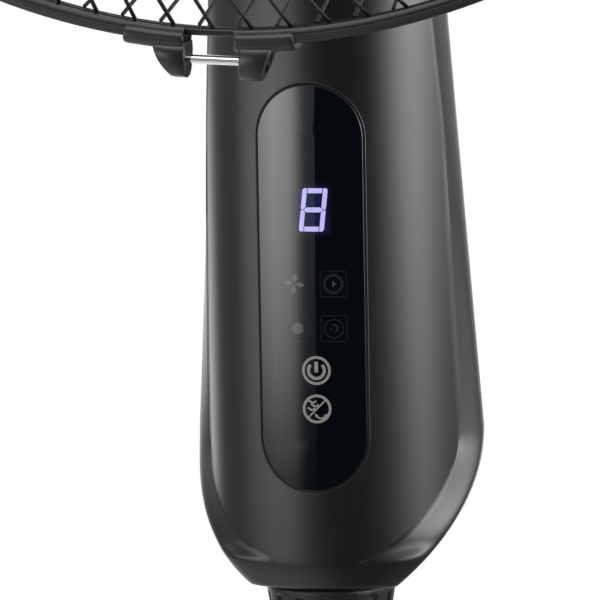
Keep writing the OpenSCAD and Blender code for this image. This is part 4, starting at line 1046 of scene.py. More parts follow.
class FAN_OT_collar(bpy.types.Operator):
    """Models the ribbed collar that locks the pole's height"""
    bl_idname = "fan.collar"
    bl_label = "Height collar"

    def execute(self, context):
        foot, top, top_r = COLLAR_LOW[2], COLLAR_HIGH[2], COLLAR_HIGH[0]
        bore, top_bore = 14.1 * MM, 11.5 * MM
        taper = tan(radians(9.0))
        grooves, groove_d, land = 15, 0.9 * MM, 0.35

        def side(inset, z, deep=0.0):
            """A row of the tapered side; deep is the share of the grooves' depth that it has."""
            return top_r - (top - z) * taper - inset, z, deep

        rows = [(bore, foot + 3 * MM, 0.0), side(0.0, foot + 0.4 * MM), side(0.5 * MM, foot),
                side(0.0, foot + 0.7 * MM, 1.0)]
        rows += [side(0.0, foot + (top - 3.4 * MM - foot) * k / 14, 1.0) for k in range(1, 15)]
        rows += [side(0.0, top - 2.9 * MM, 0.4), side(0.0, top - 2.5 * MM), side(0.0, top - 1.0 * MM),
                 side(0.25 * MM, top - 0.45 * MM), side(0.8 * MM, top),
                 (top_bore, top, 0.0), (top_bore, top - 2 * MM, 0.0)]

        def place(t, row):
            r, z, deep = row
            groove = max(0.0, -cos(t * grooves) - land) / (1 - land)
            r -= groove_d * deep * min(1.0, groove * 1.8)
            return (r * cos(t), r * sin(t), z)

        collar = skin("ribbed_collar", round_angles(grooves * 16), rows, place)
        smooth(collar, 38)
        placed(collar, "collar", "collar_plastic", deep_black(), "height_collar")
        return {"FINISHED"}


class FAN_OT_base(bpy.types.Operator):
    """Models the domed base cover and the ring round the foot of the pole"""
    bl_idname = "fan.base"
    bl_label = "Base cover"

    def execute(self, context):
        self.cover()
        self.trim_ring()
        return {"FINISHED"}

    def cover(self):
        """A shallow dome with a boss in its middle, hollow below."""
        skirt, boss_top = low("base_cover")[2], high("base_cover")[2]
        outer, inner, top_r, bore = high("base_cover")[0], 36 * MM, 21 * MM, 14.3 * MM
        rise, wall, brim = 24 * MM, 2.5 * MM, 9 * MM
        crown = skirt + 9 * MM + rise
        span = outer - inner
        curve = (span * span + rise * rise) / (2 * rise)

        def dome(r, drop=0.0):
            return crown - curve + sqrt(curve * curve - (r - inner) ** 2) - drop

        outline = [(outer - wall, skirt), (outer - 0.6 * MM, skirt), (outer, skirt + 0.6 * MM)]
        outline += rounded([(outer, skirt + 1 * MM, 0), (outer, dome(outer), 3.5 * MM),
                            (outer - brim, dome(outer - brim), 0)], 8)[1:]
        outline += [(r, dome(r)) for r in
                    [outer - brim - (span - 12 * MM) * k / 40 for k in range(1, 41)]]
        outline += rounded([(inner + 3 * MM, crown, 0), (top_r + 3 * MM, crown, 9 * MM),
                            (top_r + 0.2 * MM, boss_top, 1.2 * MM), (bore, boss_top, 0),
                            (bore, crown, 0), (top_r - wall, crown - wall, 0)], 8)[1:]
        outline += [(r, dome(r, wall)) for r in
                    [inner + (span - wall) * k / 24 for k in range(25)]]
        cover = turned_upright("base_dome", outline, 160)
        placed(smooth(cover), "stand", "black_plastic", satin_black(), "base_cover")

    def trim_ring(self):
        """The rounded ring on the boss, round the foot of the pole."""
        (_, _, foot), (outer, _, top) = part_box("pole_trim_ring")
        bore = 14.05 * MM
        trim = turned_upright("pole_trim", rounded([
            (bore, foot, 0), (outer, foot, 0.2 * MM), (outer, foot + 2.4 * MM, 1.4 * MM),
            (outer - 3 * MM, top, 1.2 * MM), (bore, top, 0.3 * MM)]), 96)
        placed(smooth(trim), "stand", "black_plastic", deep_black(), "pole_trim_ring")


class FAN_OT_knob(bpy.types.Operator):
    """Models the lobed clamp knob behind the housing"""
    bl_idname = "fan.knob"
    bl_label = "Clamp knob"

    def execute(self, context):
        outer = half_across("clamp_knob")
        front, back = low("clamp_knob")[1], high("clamp_knob")[1]
        face = HOUSING_BACK + 1.5 * MM
        stem, lobes, lobe_d = 3.0 * MM, 8, 2.0 * MM
        rows = [(0.0, front, 0), (stem, front, 0), (stem, face, 0), (outer - 1.0 * MM, face, 1),
                (outer - 0.3 * MM, face + 0.3 * MM, 1), (outer, face + 1.0 * MM, 1),
                (outer, back - 2.4 * MM, 1), (outer - 0.5 * MM, back - 1.2 * MM, 1),
                (outer - 1.6 * MM, back - 0.3 * MM, 1), (outer - 3.0 * MM, back, 1),
                (8.0 * MM, back, 0), (7.4 * MM, back - 0.7 * MM, 0), (0.0, back - 0.7 * MM, 0)]

        def place(t, row):
            r, y, lobed = row
            r -= lobe_d * max(0.0, cos(t * lobes)) ** 3 * lobed
            return (r * cos(t), y, KNOB_Z + r * sin(t))

        knob = skin("knob", round_angles(lobes * 20), rows, place)
        smooth(knob, 40)
        placed(knob, "knob", "collar_plastic", deep_black(), "clamp_knob")
        return {"FINISHED"}


# ---------------------------------------------------------------- motor and impeller

class FAN_OT_motor(bpy.types.Operator):
    """Models the motor's rear cover with its air slots"""
    bl_idname = "fan.motor"
    bl_label = "Motor cover"

    def execute(self, context):
        outer = half_across("motor_cover")
        back, front = -high("motor_cover")[1], -low("motor_cover")[1]
        cover = self.shell(outer, back, front)
        self.cut_slots(cover, back)
        self.cut_keel_bed(cover)
        screw_x, screw_bore = 30 * MM, 1.7 * MM
        for x in (-screw_x, screw_x):
            cut(cover, rod("screw_hole", screw_bore, (x, -back - 0.02, FAN_Z), (x, -back + 0.01, FAN_Z), 24))
        smooth(cover, 30)
        placed(cover, "head", "black_plastic", satin_black(), "motor_cover")
        return {"FINISHED"}

    def shell(self, outer, back, front):
        """A cup with a wide bend at its back."""
        wall, bend_r = 2.5 * MM, 34 * MM

        def line(inset, steps=22):
            r, rear, bend = outer - inset, back + inset, bend_r - inset
            return [(0.0, rear)] + [(r - bend + bend * sin(pi / 2 * k / steps),
                                     rear + bend - bend * cos(pi / 2 * k / steps))
                                    for k in range(steps + 1)]

        outline = line(0.0) + [(outer, front - 0.8 * MM), (outer - 0.3 * MM, front - 0.15 * MM),
                               (outer - 0.9 * MM, front), (outer - wall, front)]
        return turned_on_fan("motor_shell", outline + list(reversed(line(wall))), 144)

    def cut_slots(self, cover, back):
        """Seven level air slots through the back."""
        half, slot_r, pitch, through = 22 * MM, 1.2 * MM, 6 * MM, 8 * MM
        for k in range(-3, 4):
            height = FAN_Z + k * pitch
            tool = rod("slot", slot_r, (-half, -back, height), (half, -back, height), 16)
            for corner in tool.data.vertices:
                corner.co.y += through if corner.co.y > -back else -through
            cut(cover, closed(tool, merge=1e-5))

    def cut_keel_bed(self, cover):
        """The gap below, where the keel of the motor frame passes."""
        lowest = low("motor_cover")
        start()
        bpy.ops.mesh.primitive_cube_add(size=1.0, location=(0, lowest[1] + 45.5 * MM, lowest[2] + 2 * MM))
        tool = added("keel_tool")
        tool.scale = (12.6 * MM, 93 * MM, 20 * MM)
        cut(cover, settled(tool))


class FAN_OT_impeller(bpy.types.Operator):
    """Models the impeller, with its blades and hub"""
    bl_idname = "fan.impeller"
    bl_label = "Impeller"

    def execute(self, context):
        s = context.scene.fan_head
        blade = self.blade(s)
        blades = [blade] + [copied(blade, about_fan(2 * pi * i / s.blades)) for i in range(1, s.blades)]
        piece = joined("impeller", blades + [self.hub(s)])
        smooth(piece, 42)
        placed(piece, "impeller", "blade_plastic", tinted_blade(), "fan_blade")
        return {"FINISHED"}

    def hub(self, s):
        """A cup that opens forwards, with the shaft's boss in its middle."""
        bore, boss_r, cup_r = 4.2 * MM, 10 * MM, s.hub_r - 3 * MM
        floor, end = HUB_BACK + 8 * MM, HUB_BACK + 42 * MM
        return turned_on_fan("hub", rounded([
            (bore, HUB_BACK, 0), (s.hub_r, HUB_BACK, 0.6 * MM), (s.hub_r, end, 2.2 * MM),
            (cup_r, end, 0.8 * MM), (cup_r, floor, 1 * MM), (boss_r, floor, 1 * MM),
            (boss_r, end, 0.8 * MM), (bore, end, 0)]), 96)

    def blade(self, s):
        """A blade that widens outwards, with a round tip, swept back and pitched a little less there."""
        root, reach, broad_r, tip_r = s.hub_r - 2 * MM, s.blade_r, 90 * MM, 130 * MM
        narrow, widening, sweep = 19, 8, 14
        middle, dish, pitch, easing = HUB_BACK + 23 * MM, 14 * MM, 15, 3

        def place(a, b):
            r = root + (reach - root) * b
            out, lean = r / reach, 2 * a - 1
            tip = max(0.0, (r - tip_r) / (reach - tip_r))
            half = (narrow + widening * min(1, r / broad_r)) * sqrt(1 - 0.92 * tip ** 4)
            angle = radians(lean * half + sweep * out ** 2)
            depth = middle + dish * out ** 1.5 + lean * (pitch - easing * out) * MM
            return on_fan((r * cos(angle), r * sin(angle), depth))

        blade = net("blade", 26, 44, place, fill=False)
        finished(blade, "SOLIDIFY", thickness=s.blade_t, offset=0.0)
        with editing(blade):
            bpy.ops.mesh.normals_make_consistent(inside=False)
        return finished(blade, "BEVEL", width=0.75 * MM, segments=2, limit_method="ANGLE",
                        angle_limit=radians(60))


# ---------------------------------------------------------------- guards and hoop

class Guards:
    """The places that both guards share."""

    def __init__(self):
        s = self.s = bpy.context.scene.fan_head
        self.rim_r = HOOP_R - s.hoop_d + 1 * MM
        self.side = s.rim_wire_r + 0.1 * MM
        self.end_r = self.rim_r - s.rim_wire_r - 0.15 * MM
        self.front = dict(hub=-low("front_guard_rings")[1] - 1 * MM, start=46 * MM + s.wire_r,
                          rim=HOOP_DEPTH + self.side + 0.5 * MM, swirl=-s.swirl,
                          at=s.front_turn - pi / 2)
        self.rear = dict(hub=-high("rear_guard_rings")[1] + 0.75 * MM, start=60 * MM + s.wire_r,
                         rim=HOOP_DEPTH - self.side - 0.5 * MM, swirl=s.swirl,
                         at=s.rear_turn - pi / 2)

    def depth(self, r, g):
        """How far in front of the pole a guard lies at a radius: an arc from its hub to its rim."""
        span, fall = self.end_r - g["start"], g["rim"] - g["hub"]
        bend = (span * span + fall * fall) / (2 * abs(fall))
        sign = 1 if fall > 0 else -1
        return g["hub"] + sign * (bend - sqrt(bend * bend - (r - g["start"]) ** 2))

    def point(self, r, angle, g):
        return Vector((r * cos(angle), r * sin(angle), self.depth(r, g)))

    def wire(self, name, ends, steps):
        """A round wire bent along the circle through three points of the head's frame."""
        first, middle, final = ends
        u, v = middle - first, final - first
        w = u.cross(v)
        centre = first + (u.length_squared * v.cross(w) + v.length_squared * w.cross(u)) / (
            2 * w.length_squared)
        bend = (first - centre).length
        ex = (first - centre) / bend
        up = (first - centre).cross(final - centre).normalized()
        ey = up.cross(ex)
        whole = acos((first - centre).dot(final - centre) / bend ** 2)

        def place(a, b):
            out = ex * cos(whole * b) + ey * sin(whole * b)
            ring = out * cos(2 * pi * a) + up * sin(2 * pi * a)
            return on_fan(centre + out * bend + ring * self.s.wire_r)

        return net(name, 6, steps, place)

    def wires(self, name, g):
        """All the wires of one guard: every other one stops at the middle ring."""
        s = self.s
        step = 2 * pi / s.wires
        mid_share = (self.end_r - s.mid_ring_r) / (self.end_r - g["start"])

        def through(at, *places):
            """The points of a wire, from (radius, share of the swirl) places."""
            return [self.point(r, at + g["swirl"] * swirled, g) for r, swirled in places]

        rim, half_way = (self.end_r, 0), ((self.end_r + s.mid_ring_r) / 2, mid_share / 2)
        middle, hub = (s.mid_ring_r, mid_share), (g["start"], 1)
        pair = (self.wire(name, through(g["at"], rim, middle, hub), 10),
                self.wire(name, through(g["at"] + step, rim, half_way, middle), 6))
        made = list(pair)
        for i in range(1, s.wires // 2):
            made += [copied(wire, about_fan(2 * i * step)) for wire in pair]
        piece = joined(name, made)
        return smooth(piece, 70)

    def hoop_of_wire(self, name, radius, depth, thickness, steps):
        start()
        bpy.ops.mesh.primitive_torus_add(
            major_radius=radius, minor_radius=thickness, major_segments=steps, minor_segments=12,
            location=(0, -depth, FAN_Z), rotation=(pi / 2, 0, 0))
        return settled(added(name))

    def rings(self, name, g, side):
        """The rim ring, the middle ring and the flat inner ring of one guard."""
        s = self.s
        mid_wire_r = 1 * MM
        inner, half = (42 * MM, 1 * MM) if side > 0 else (28.3 * MM, 0.75 * MM)
        outer = g["start"] - s.wire_r - 0.1 * MM
        middle = self.depth(s.mid_ring_r, g) - side * 1.85 * MM
        flat = rounded([(inner, g["hub"] - half, 0.2 * MM), (outer, g["hub"] - half, 0.6 * MM),
                        (outer, g["hub"] + half, 0.6 * MM), (inner, g["hub"] + half, 0.2 * MM)], 3)
        piece = joined(name, [
            self.hoop_of_wire(name, self.rim_r, HOOP_DEPTH + side * self.side, s.rim_wire_r, 192),
            self.hoop_of_wire(name, s.mid_ring_r, middle, mid_wire_r, 144),
            turned_on_fan(name, flat, 96)])
        return smooth(piece, 40)


class FAN_OT_guards(bpy.types.Operator):
    """Models the front and rear guards, wire by wire"""
    bl_idname = "fan.guards"
    bl_label = "Guards"

    def execute(self, context):
        guards = Guards()
        coating = wire_coating()
        for side, name in ((1, "front"), (-1, "rear")):
            g = guards.front if side > 0 else guards.rear
            wires = guards.wires(f"{name}_wires", g)
            placed(wires, "head", "guard_coating", coating, f"{name}_guard_wires")
            rings = guards.rings(f"{name}_rings", g, side)
            placed(rings, "head", "guard_coating", coating, f"{name}_guard_rings")
        return {"FINISHED"}


class FAN_OT_hoop(bpy.types.Operator):
    """Models the hoop that clamps the two guards, with its sleeves and lugs, bored for the screw"""
    bl_idname = "fan.hoop"
    bl_label = "Clamp hoop"

    def execute(self, context):
        s = context.scene.fan_head
        gap = asin(s.clamp_gap / 2 / (HOOP_R - 0.02 * MM))
        ends = [self.sleeve(s, side, gap) for side in (-1, 1)]
        lugs = [self.lug(s, -18, -7.4, -11.6, -7.4), self.lug(s, 9.6, 20, 9.6, 16)]
        cut(lugs[0], self.bore(s, 3.4, -40, -11.8))
        cut(lugs[1], self.bore(s, 3.4, 14, 40))
        for lug in lugs:
            cut(lug, self.bore(s, 1.55, -40, 40))
        piece = joined("hoop", [self.band(s, gap)] + ends + lugs)
        piece.data.transform(about_fan(s.clamp_turn))
        smooth(piece, 36)
        placed(piece, "head", "hoop_plastic", hoop_black(), "guard_hoop")
        return {"FINISHED"}

    def band(self, s, gap):
        """The hoop itself: a channel that holds both rims, with a fine groove near each edge."""
        outer, inner, half = HOOP_R - 0.02 * MM, HOOP_R - s.hoop_d, s.hoop_w / 2
        wall, groove_r, groove_d, steps = 1.8 * MM, inner + 1.5 * MM, 0.3 * MM, 240
        front = [(inner, half - wall, 0.2 * MM), (inner, half - 0.5 * MM, 0.4 * MM),
                 (groove_r, half, 0.3 * MM), (groove_r + 0.25 * MM, half - groove_d, 0),
                 (groove_r + 0.5 * MM, half - groove_d, 0), (groove_r + 0.75 * MM, half, 0.2 * MM),
                 (outer, half, 1.0 * MM)]
        back = [(r, -d, radius) for r, d, radius in reversed(front)]
        channel = [(outer - wall, -half + wall, 0.3 * MM), (outer - wall, half - wall, 0.3 * MM)]
        section = [(r, HOOP_DEPTH + d) for r, d in rounded(front + back + channel, 4)]
        angles = [-pi / 2 + gap + (2 * pi - 2 * gap) * i / steps for i in range(steps + 1)]
        return skin("hoop_band", section, angles,
                    lambda point, t: on_fan((point[0] * cos(t), point[0] * sin(t), point[1])))

    def bore(self, s, radius, first, final):
        """A tool along the clamp screw's axis, in millimetres."""
        z = FAN_Z - SCREW_R - s.screw_drop
        return rod("bore", radius * MM, (first * MM, -HOOP_DEPTH, z), (final * MM, -HOOP_DEPTH, z), 40)

    def sleeve(self, s, side, gap):
        """A round-edged tube over the end of the hoop, rolled in at its ends."""
        outer, inner = HOOP_R + 2.2 * MM, HOOP_R - s.hoop_d + 0.1 * MM
        half, corner = s.hoop_w / 2 + 1 * MM, 3.4 * MM
        whole = s.sleeve / HOOP_R
        first = -pi / 2 + side * gap
        flat = rounded([(inner, -half, corner), (outer, -half, corner),
                        (outer, half, corner), (inner, half, corner)], 8)
        middle_r = (outer + inner) / 2
        rolls = [(0.0, 0.72), (0.0, 0.86), (0.012, 0.95), (0.035, 0.99), (0.07, 1.0), (0.3, 1.0),
                 (0.6, 1.0), (0.9, 1.0), (0.955, 0.99), (0.985, 0.95), (1.0, 0.86), (1.0, 0.72)]

        def place(point, roll):
            along, scale = roll
            t = first + side * whole * along
            r = middle_r + (point[0] - middle_r) * scale
            return on_fan((r * cos(t), r * sin(t), HOOP_DEPTH + point[1] * (1 - (1 - scale) * 0.5)))

        return skin("sleeve", flat, rolls, place)

    def lug(self, s, top_left, top_right, low_left, low_right):
        """A lug under a sleeve, round below: its edges above, then below, in millimetres."""
        low, high = HOOP_R + 10.9 * MM, HOOP_R - 0.4 * MM
        half, bow = s.hoop_w / 2 + 0.7 * MM, 1.1 * MM
        waist, neck, squareness = 0.3, 0.22, 2.4
        belly = []
        for i in range(17):
            down = i / 16
            below = max(0.0, (down - waist) / (1 - waist))
            above = max(0.0, (waist - down) / waist)
            belly.append((half * (1 - below ** squareness) ** (1 / squareness) * (1 - neck * above * above),
                          high + (low - high) * down))
        outline = [(-d, r) for d, r in belly] + list(reversed(belly[:-1]))
        ends = [(0.0, 0.9), (0.03, 0.96), (0.08, 1.0), (0.5, 1.0), (0.92, 1.0), (0.97, 0.96), (1.0, 0.9)]

        def place(point, end):
            (d, r), (along, scale) = point, end
            drop = (r - high) / (low - high)
            from_x = (top_left + (low_left - top_left) * drop) * MM
            to_x = (top_right + (low_right - top_right) * drop) * MM
            if low_left != top_left:
                from_x -= bow * sin(pi * drop)
            return on_fan((from_x + (to_x - from_x) * along, -(high + (r - high) * (0.94 + 0.06 * scale)),
                           HOOP_DEPTH + d * scale))

        return skin("lug", outline, ends, place)


class FAN_OT_fastenings(bpy.types.Operator):
    """Models the clamp screw, the guard nut and the centre cap"""
    bl_idname = "fan.fastenings"
    bl_label = "Screw, nut and cap"

    def execute(self, context):
        self.screw(context.scene.fan_head)
        self.nut()
        self.cap()
        return {"FINISHED"}

    def screw(self, s):
        """The bright screw between the two lugs: a flat head on the left and a plain shank."""
        z = FAN_Z - SCREW_R - s.screw_drop
        shank, head_r = 1.5 * MM, 2.8 * MM
        left, under, right = -13.8 * MM, -11.8 * MM, 17 * MM
        outline = rounded([(0, left, 0), (head_r, left, 0.5 * MM), (head_r, under, 0.15 * MM),
                           (shank, under, 0), (shank, right - 0.4 * MM, 0),
                           (shank - 0.4 * MM, right, 0), (0, right, 0)], 4)
        screw = turned("clamp_screw", outline, 48, lambda r, x: (x, -HOOP_DEPTH, z + r),
                       (0, -HOOP_DEPTH, z), (1, 0, 0))
        screw.data.transform(about_fan(s.clamp_turn))
        placed(smooth(screw), "head", "chrome_screw", frame_finishes_once()["chrome_screw"], "hoop_screw")

    def nut(self):
        """The ring nut that holds the rear guard, scalloped for the fingers."""
        bore, scallops, scallop_d = 28.1 * MM, 18, 1.6 * MM
        outer = half_across("guard_nut")
        back, front = -high("guard_nut")[1], -low("guard_nut")[1]
        rows = [(bore, back, 0), (outer - 0.5 * MM, back, 1), (outer, back + 0.5 * MM, 1),
                (outer, front - 1.2 * MM, 1), (outer - 0.8 * MM, front - 0.3 * MM, 1),
                (outer - 2 * MM, front, 1), (33 * MM, front, 0), (32 * MM, front - 1 * MM, 0),
                (29 * MM, front - 1 * MM, 0), (bore, front - 0.4 * MM, 0)]

        def place(t, row):
            r, d, lobed = row
            r -= scallop_d * max(0.0, cos(t * scallops)) ** 2 * lobed
            return on_fan((r * cos(t), r * sin(t), d))

        nut = skin("guard_ring_nut", round_angles(scallops * 12), rows + rows[:1], place, fill=False)
        placed(smooth(nut, 40), "head", "collar_plastic", deep_black(), "guard_nut")

    def cap(self):
        """The domed cap in the middle of the front guard, with its clip behind."""
        outer = half_across("centre_cap")
        front = -low("centre_cap")[1]
        back = front - 4.6 * MM
        dome_r, dome_d, steps = outer - 1.0 * MM, 2.6 * MM, 12
        dome = [(dome_r - dome_r * k / steps, front - dome_d * (1 - k / steps) ** 2.2)
                for k in range(steps + 1)]
        outline = [(0, back), (outer - 0.3 * MM, back), (outer, back + 0.3 * MM),
                   (outer, back + 1.2 * MM)] + dome
        disc = turned_on_fan("cap_disc", outline, 128)
        clip_in, clip_out, clip_d = outer - 7 * MM, outer - 4.1 * MM, 4.1 * MM
        clip = turned_on_fan("cap_clip", rounded([
            (clip_in, back - clip_d, 0.3 * MM), (clip_out, back - clip_d, 0.3 * MM),
            (clip_out, back, 0), (clip_in, back, 0)], 3), 96)
        cap = joined("guard_cap", [disc, clip])
        placed(smooth(cap, 30), "head", "black_plastic", satin_black(), "centre_cap")


# ---------------------------------------------------------------- carried-over pieces

FINISHES = {}


def frame_finishes_once():
    if not FINISHES:
        FINISHES.update(frame_finishes())
    return FINISHES


class FAN_OT_frame(bpy.types.Operator):
    """Paints the frame's own pieces, each with the finish of its slot"""
    bl_idname = "fan.frame"
    bl_label = "Frame finishes"

    def execute(self, context):
        finishes = frame_finishes_once()
        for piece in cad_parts.values():
            slot = piece.data.materials[0].name.split(".")[0]
            paint(piece, finishes[slot])
        return {"FINISHED"}


# ---------------------------------------------------------------- stage

def screen(name, left, right, distance, low, high, strength, across=None, upwards=None):
    """An upright studio screen bent round the pole, which only reflections show.

    left and right are its edges' directions in degrees, as numbers or by height. across and upwards
    are lists of (share, light) from 0 to 1, for a screen whose light changes over it."""
    steps = 24

    def edge(side, height):
        return side(height) if callable(side) else side

    def place(a, b):
        height = low + (high - low) * b
        angle = edge(left, height) + (edge(right, height) - edge(left, height)) * a
        return around(angle, distance, height)

    piece = net(name, steps, steps, place, fill=False)
    piece.data.materials.append(screen_light(name, strength, across, upwards))
    for seen in ("camera", "diffuse", "transmission", "volume_scatter", "shadow"):
        setattr(piece, f"visible_{seen}", False)
    return piece


def screen_light(name, strength, across, upwards):
    """The light of a screen: its two ramps, where it has them, are multiplied."""
    made, tree = bare_material(name)
    light = node(tree, "ShaderNodeEmission", (300, 0), {"Strength": strength})
    node(tree, "ShaderNodeOutputMaterial", (500, 0), {0: light.outputs[0]})
    where = node(tree, "ShaderNodeTexCoord", (-900, 0))
    split = node(tree, "ShaderNodeSeparateXYZ", (-700, 0), {0: where.outputs["UV"]})
    shares = []
    for axis, stops in (("X", across), ("Y", upwards)):
        if stops:
            ramp = node(tree, "ShaderNodeValToRGB", (-400, 0), {0: split.outputs[axis]})
            points = ramp.color_ramp.elements
            for i, (share_at, level) in enumerate(stops):
                point = points[i] if i < 2 else points.new(share_at)
                point.position = share_at
                point.color = (level, level, level, 1)
            shares.append(ramp.outputs["Color"])
    if len(shares) == 2:
        both = node(tree, "ShaderNodeVectorMath", (0, 0), dict(enumerate(shares)), operation="MULTIPLY")
        shares = [both.outputs[0]]
    if shares:
        tree.links.new(shares[0], light.inputs["Color"])
    return made


def softbox(name, centre, look_at, size, power):
    """An area lamp that faces a point."""
    lamp = bpy.data.lights.new(name, "AREA")
    lamp.shape = "RECTANGLE"
    lamp.size, lamp.size_y = size
    lamp.energy = power
    holder = bpy.data.objects.new(name, lamp)
    holder.location = centre
    holder.rotation_euler = (Vector(centre) - Vector(look_at)).to_track_quat("Z", "Y").to_euler()
    bpy.context.scene.collection.objects.link(holder)
    return holder


def around(azimuth, distance, height):
    """A place round the pole: azimuth 0 is in front, positive to the right."""
    a = radians(azimuth)
    return Vector((distance * sin(a), -distance * cos(a), height))


def behind_everything(tree, seen_white, strength):
    """A shader that is plain white where it is looked at, and of another strength where it lights."""
    rays = node(tree, "ShaderNodeLightPath", (-900, 200)).outputs
    shown = node(tree, "ShaderNodeMath", (-700, 200), {0: rays["Is Camera Ray"], 1: rays["Is Glossy Ray"]},
                 operation="MAXIMUM")
    either = node(tree, "ShaderNodeMath", (-500, 200),
                  {0: shown.outputs[0], 1: rays["Is Transmission Ray"]}, operation="MAXIMUM")
    mix = node(tree, "ShaderNodeMixShader", (0, 200), {0: either.outputs[0], 1: strength, 2: seen_white})
    return mix.outputs[0]


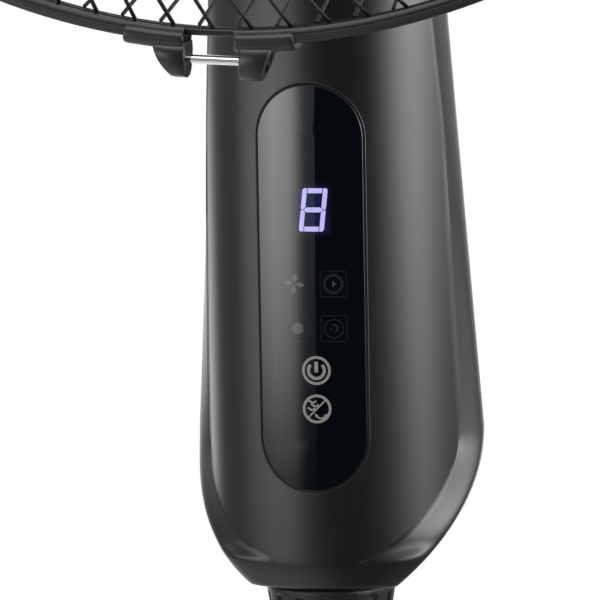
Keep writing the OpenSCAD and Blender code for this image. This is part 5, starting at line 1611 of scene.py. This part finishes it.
class FAN_OT_stage(bpy.types.Operator):
    """Sets up the camera, the floor, the room and the studio lights"""
    bl_idname = "fan.stage"
    bl_label = "Studio"

    def execute(self, context):
        s = context.scene.fan_stage
        context.scene.view_settings.view_transform = "Standard"
        self.camera(context, s)
        self.room(context, s)
        self.floor()
        self.lights()
        self.screens()
        return {"FINISHED"}

    def camera(self, context, s):
        data = bpy.data.cameras.new("camera")
        data.lens = s.focal
        data.sensor_width = 36.0
        data.clip_start = 0.05
        data.clip_end = 50.0
        camera = bpy.data.objects.new("camera", data)
        context.scene.collection.objects.link(camera)
        right = Vector((cos(s.azimuth), sin(s.azimuth), 0))
        target = Vector((0, 0, s.target_z)) - right * s.target_left
        back = Vector((sin(s.azimuth) * cos(s.elevation), -cos(s.azimuth) * cos(s.elevation),
                       sin(s.elevation)))
        look = back.to_track_quat("Z", "Y").to_matrix().to_4x4()
        camera.matrix_world = (Matrix.Translation(target + back * s.distance) @ look
                               @ Matrix.Rotation(-s.roll, 4, "Z"))
        context.scene.camera = camera

    def room(self, context, s):
        world = bpy.data.worlds.new("room")
        context.scene.world = world
        world.use_nodes = True
        tree = world.node_tree
        tree.nodes.clear()
        seen, light = [
            node(tree, "ShaderNodeBackground", (-300, height), {"Color": (1, 1, 1, 1), "Strength": strength})
            for height, strength in ((0, 1.0), (-200, s.room))]
        shown = behind_everything(tree, seen.outputs[0], light.outputs[0])
        node(tree, "ShaderNodeOutputWorld", (400, 0), {0: shown})

    def floor(self):
        """A pale disc that fades into the white room and keeps the fan's shadow near it."""
        start()
        bpy.ops.mesh.primitive_circle_add(vertices=96, radius=3.0, fill_type="NGON")
        piece = added("floor")
        piece.data.materials.append(self.floor_finish(0.86, 0.5, 1.6))

    def floor_finish(self, grey, near, far):
        """Matte grey out to near, and from there changing to the plain white of the room at far."""
        made, tree = bare_material("floor")
        matte = node(tree, "ShaderNodeBsdfDiffuse", (0, -200), {"Color": (grey, grey, grey, 1)})
        white = node(tree, "ShaderNodeEmission", (-300, 0))
        where = node(tree, "ShaderNodeTexCoord", (-900, -300))
        away = node(tree, "ShaderNodeVectorMath", (-600, -300), {0: where.outputs["Object"]},
                    operation="LENGTH")
        fade = node(tree, "ShaderNodeMapRange", (-300, -300),
                    {"From Min": near, "From Max": far, "Value": away.outputs["Value"]},
                    interpolation_type="SMOOTHSTEP")
        plain = behind_everything(tree, white.outputs[0], matte.outputs[0])
        mix = node(tree, "ShaderNodeMixShader", (100, 0), {0: fade.outputs[0], 1: matte.outputs[0], 2: plain})
        node(tree, "ShaderNodeOutputMaterial", (600, 0), {0: mix.outputs[0]})
        return made

    def lights(self):
        """Area lamps that only light: the glossy pieces reflect the screens instead."""
        middle = (0, 0, 0.7)
        for name, centre, look_at, size, power in (
                ("key_left", around(-55, 1.9, 1.3), middle, (0.8, 1.6), 22),
                ("fill_right", around(84, 1.8, 0.95), middle, (0.6, 1.8), 26),
                ("rim_left", around(-150, 1.8, 1.1), middle, (0.5, 1.6), 22),
                ("top", (0, -0.2, 2.6), (0, 0, 0.8), (1.4, 1.4), 24)):
            lamp = softbox(name, centre, look_at, size, power)
            lamp.visible_camera = False
            lamp.visible_glossy = False

    def screens(self):
        """The bright cards and black flags that the glossy pieces reflect."""
        foot, head = -0.02, 1.35

        def between(height, low, at_low, high, at_high):
            return at_low + (at_high - at_low) * min(1, max(0, (height - low) / (high - low)))

        def lens_edge(height):
            return between(height, 0.43, -8.3, 0.59, -5.2)

        def right_edge(height):
            return between(height, 0.3, 78, 0.62, 45)

        screen("flag_front", lens_edge, right_edge, 1.25, foot, head, 0.03)
        screen("card_lens", -80, lens_edge, 1.2, 0.36, 0.62, 7.2,
               across=[(0, 0.3), (1, 0.065), (0.306, 0.62), (0.484, 0.87), (0.589, 0.82), (0.678, 0.73),
                       (0.754, 0.5), (0.803, 0.29), (0.851, 0.15), (0.899, 0.09)],
               upwards=[(0, 0.06), (1, 1.0), (0.13, 0.2), (0.33, 0.52), (0.54, 0.79), (0.8, 1.0)])
        screen("wall_left", -86, 2, 1.3, foot, head, 0.18)
        screen("flag_left", -124, -86, 1.25, foot, head, 1.5,
               upwards=[(0, 0.15), (1, 1.0), (0.5, 0.16), (0.64, 1.0)])
        screen("card_back_left", -186, -130, 1.25, foot, head, 1.5)
        screen("wall_right", 128, 174, 1.3, foot, head, 0.35)
        screen("card_right", right_edge, 135, 1.25, foot, head, 12.0,
               across=[(0, 0.0), (1, 0.15), (0.1, 0.22), (0.22, 0.66), (0.36, 1.0), (0.5, 0.78), (0.7, 0.3)],
               upwards=[(0, 0.04), (1, 0.08), (0.28, 0.08), (0.45, 0.6), (0.57, 0.9), (0.7, 0.3)])
        self.floor_panel("cloth_front", -100, 75, 1.0,
                         [(0, 0.5), (1, 0.3), (0.229, 0.9), (0.43, 0.7), (0.571, 0.25), (0.686, 0.06),
                          (0.857, 0.1)])
        self.floor_panel("cloth_right", 75, 174, 0.2)
        self.floor_panel("cloth_left", -186, -100, 0.8)
        screen("card_top", -70, 70, 1.2, 1.36, 2.2, 3.0)

    def floor_panel(self, name, left, right, strength, across=None):
        """A sector of the floor round the base, which the lower flanks of the housing reflect."""
        foot, thickness, draw_in = 0.003, 0.001, 0.78
        panel = screen(name, left, right, 1.25, foot, foot + thickness, strength, across)
        for corner in panel.data.vertices:
            shrink = 1 - draw_in * (corner.co.z - foot) / thickness
            corner.co.x *= shrink
            corner.co.y *= shrink


# ---------------------------------------------------------------- add-on

OPERATORS = (FAN_OT_stage, FAN_OT_housing, FAN_OT_lens, FAN_OT_display, FAN_OT_collar, FAN_OT_base,
             FAN_OT_knob, FAN_OT_motor, FAN_OT_impeller, FAN_OT_guards, FAN_OT_hoop,
             FAN_OT_fastenings, FAN_OT_frame)


class FAN_PT_panel(bpy.types.Panel):
    """Lists the fan's pieces in the 3D view's sidebar"""
    bl_idname = "FAN_PT_panel"
    bl_label = "Pedestal fan"
    bl_space_type = "VIEW_3D"
    bl_region_type = "UI"
    bl_category = "Fan"

    def draw(self, context):
        layout = self.layout
        for name, group in GROUPS.items():
            box = layout.box()
            box.label(text=name.replace("_", " "))
            for key in group.__annotations__:
                box.prop(getattr(context.scene, name), key)
        for operator in OPERATORS:
            layout.operator(operator.bl_idname)


def register():
    for name, group in GROUPS.items():
        bpy.utils.register_class(group)
        setattr(bpy.types.Scene, name, bpy.props.PointerProperty(type=group))
    for operator in OPERATORS:
        bpy.utils.register_class(operator)
    bpy.utils.register_class(FAN_PT_panel)


def unregister():
    bpy.utils.unregister_class(FAN_PT_panel)
    for operator in reversed(OPERATORS):
        bpy.utils.unregister_class(operator)
    for name, group in reversed(list(GROUPS.items())):
        delattr(bpy.types.Scene, name)
        bpy.utils.unregister_class(group)


def main():
    register()
    for operator in OPERATORS:
        area, action = operator.bl_idname.split(".")
        getattr(getattr(bpy.ops, area), action)()


if __name__ == "__main__":
    main()
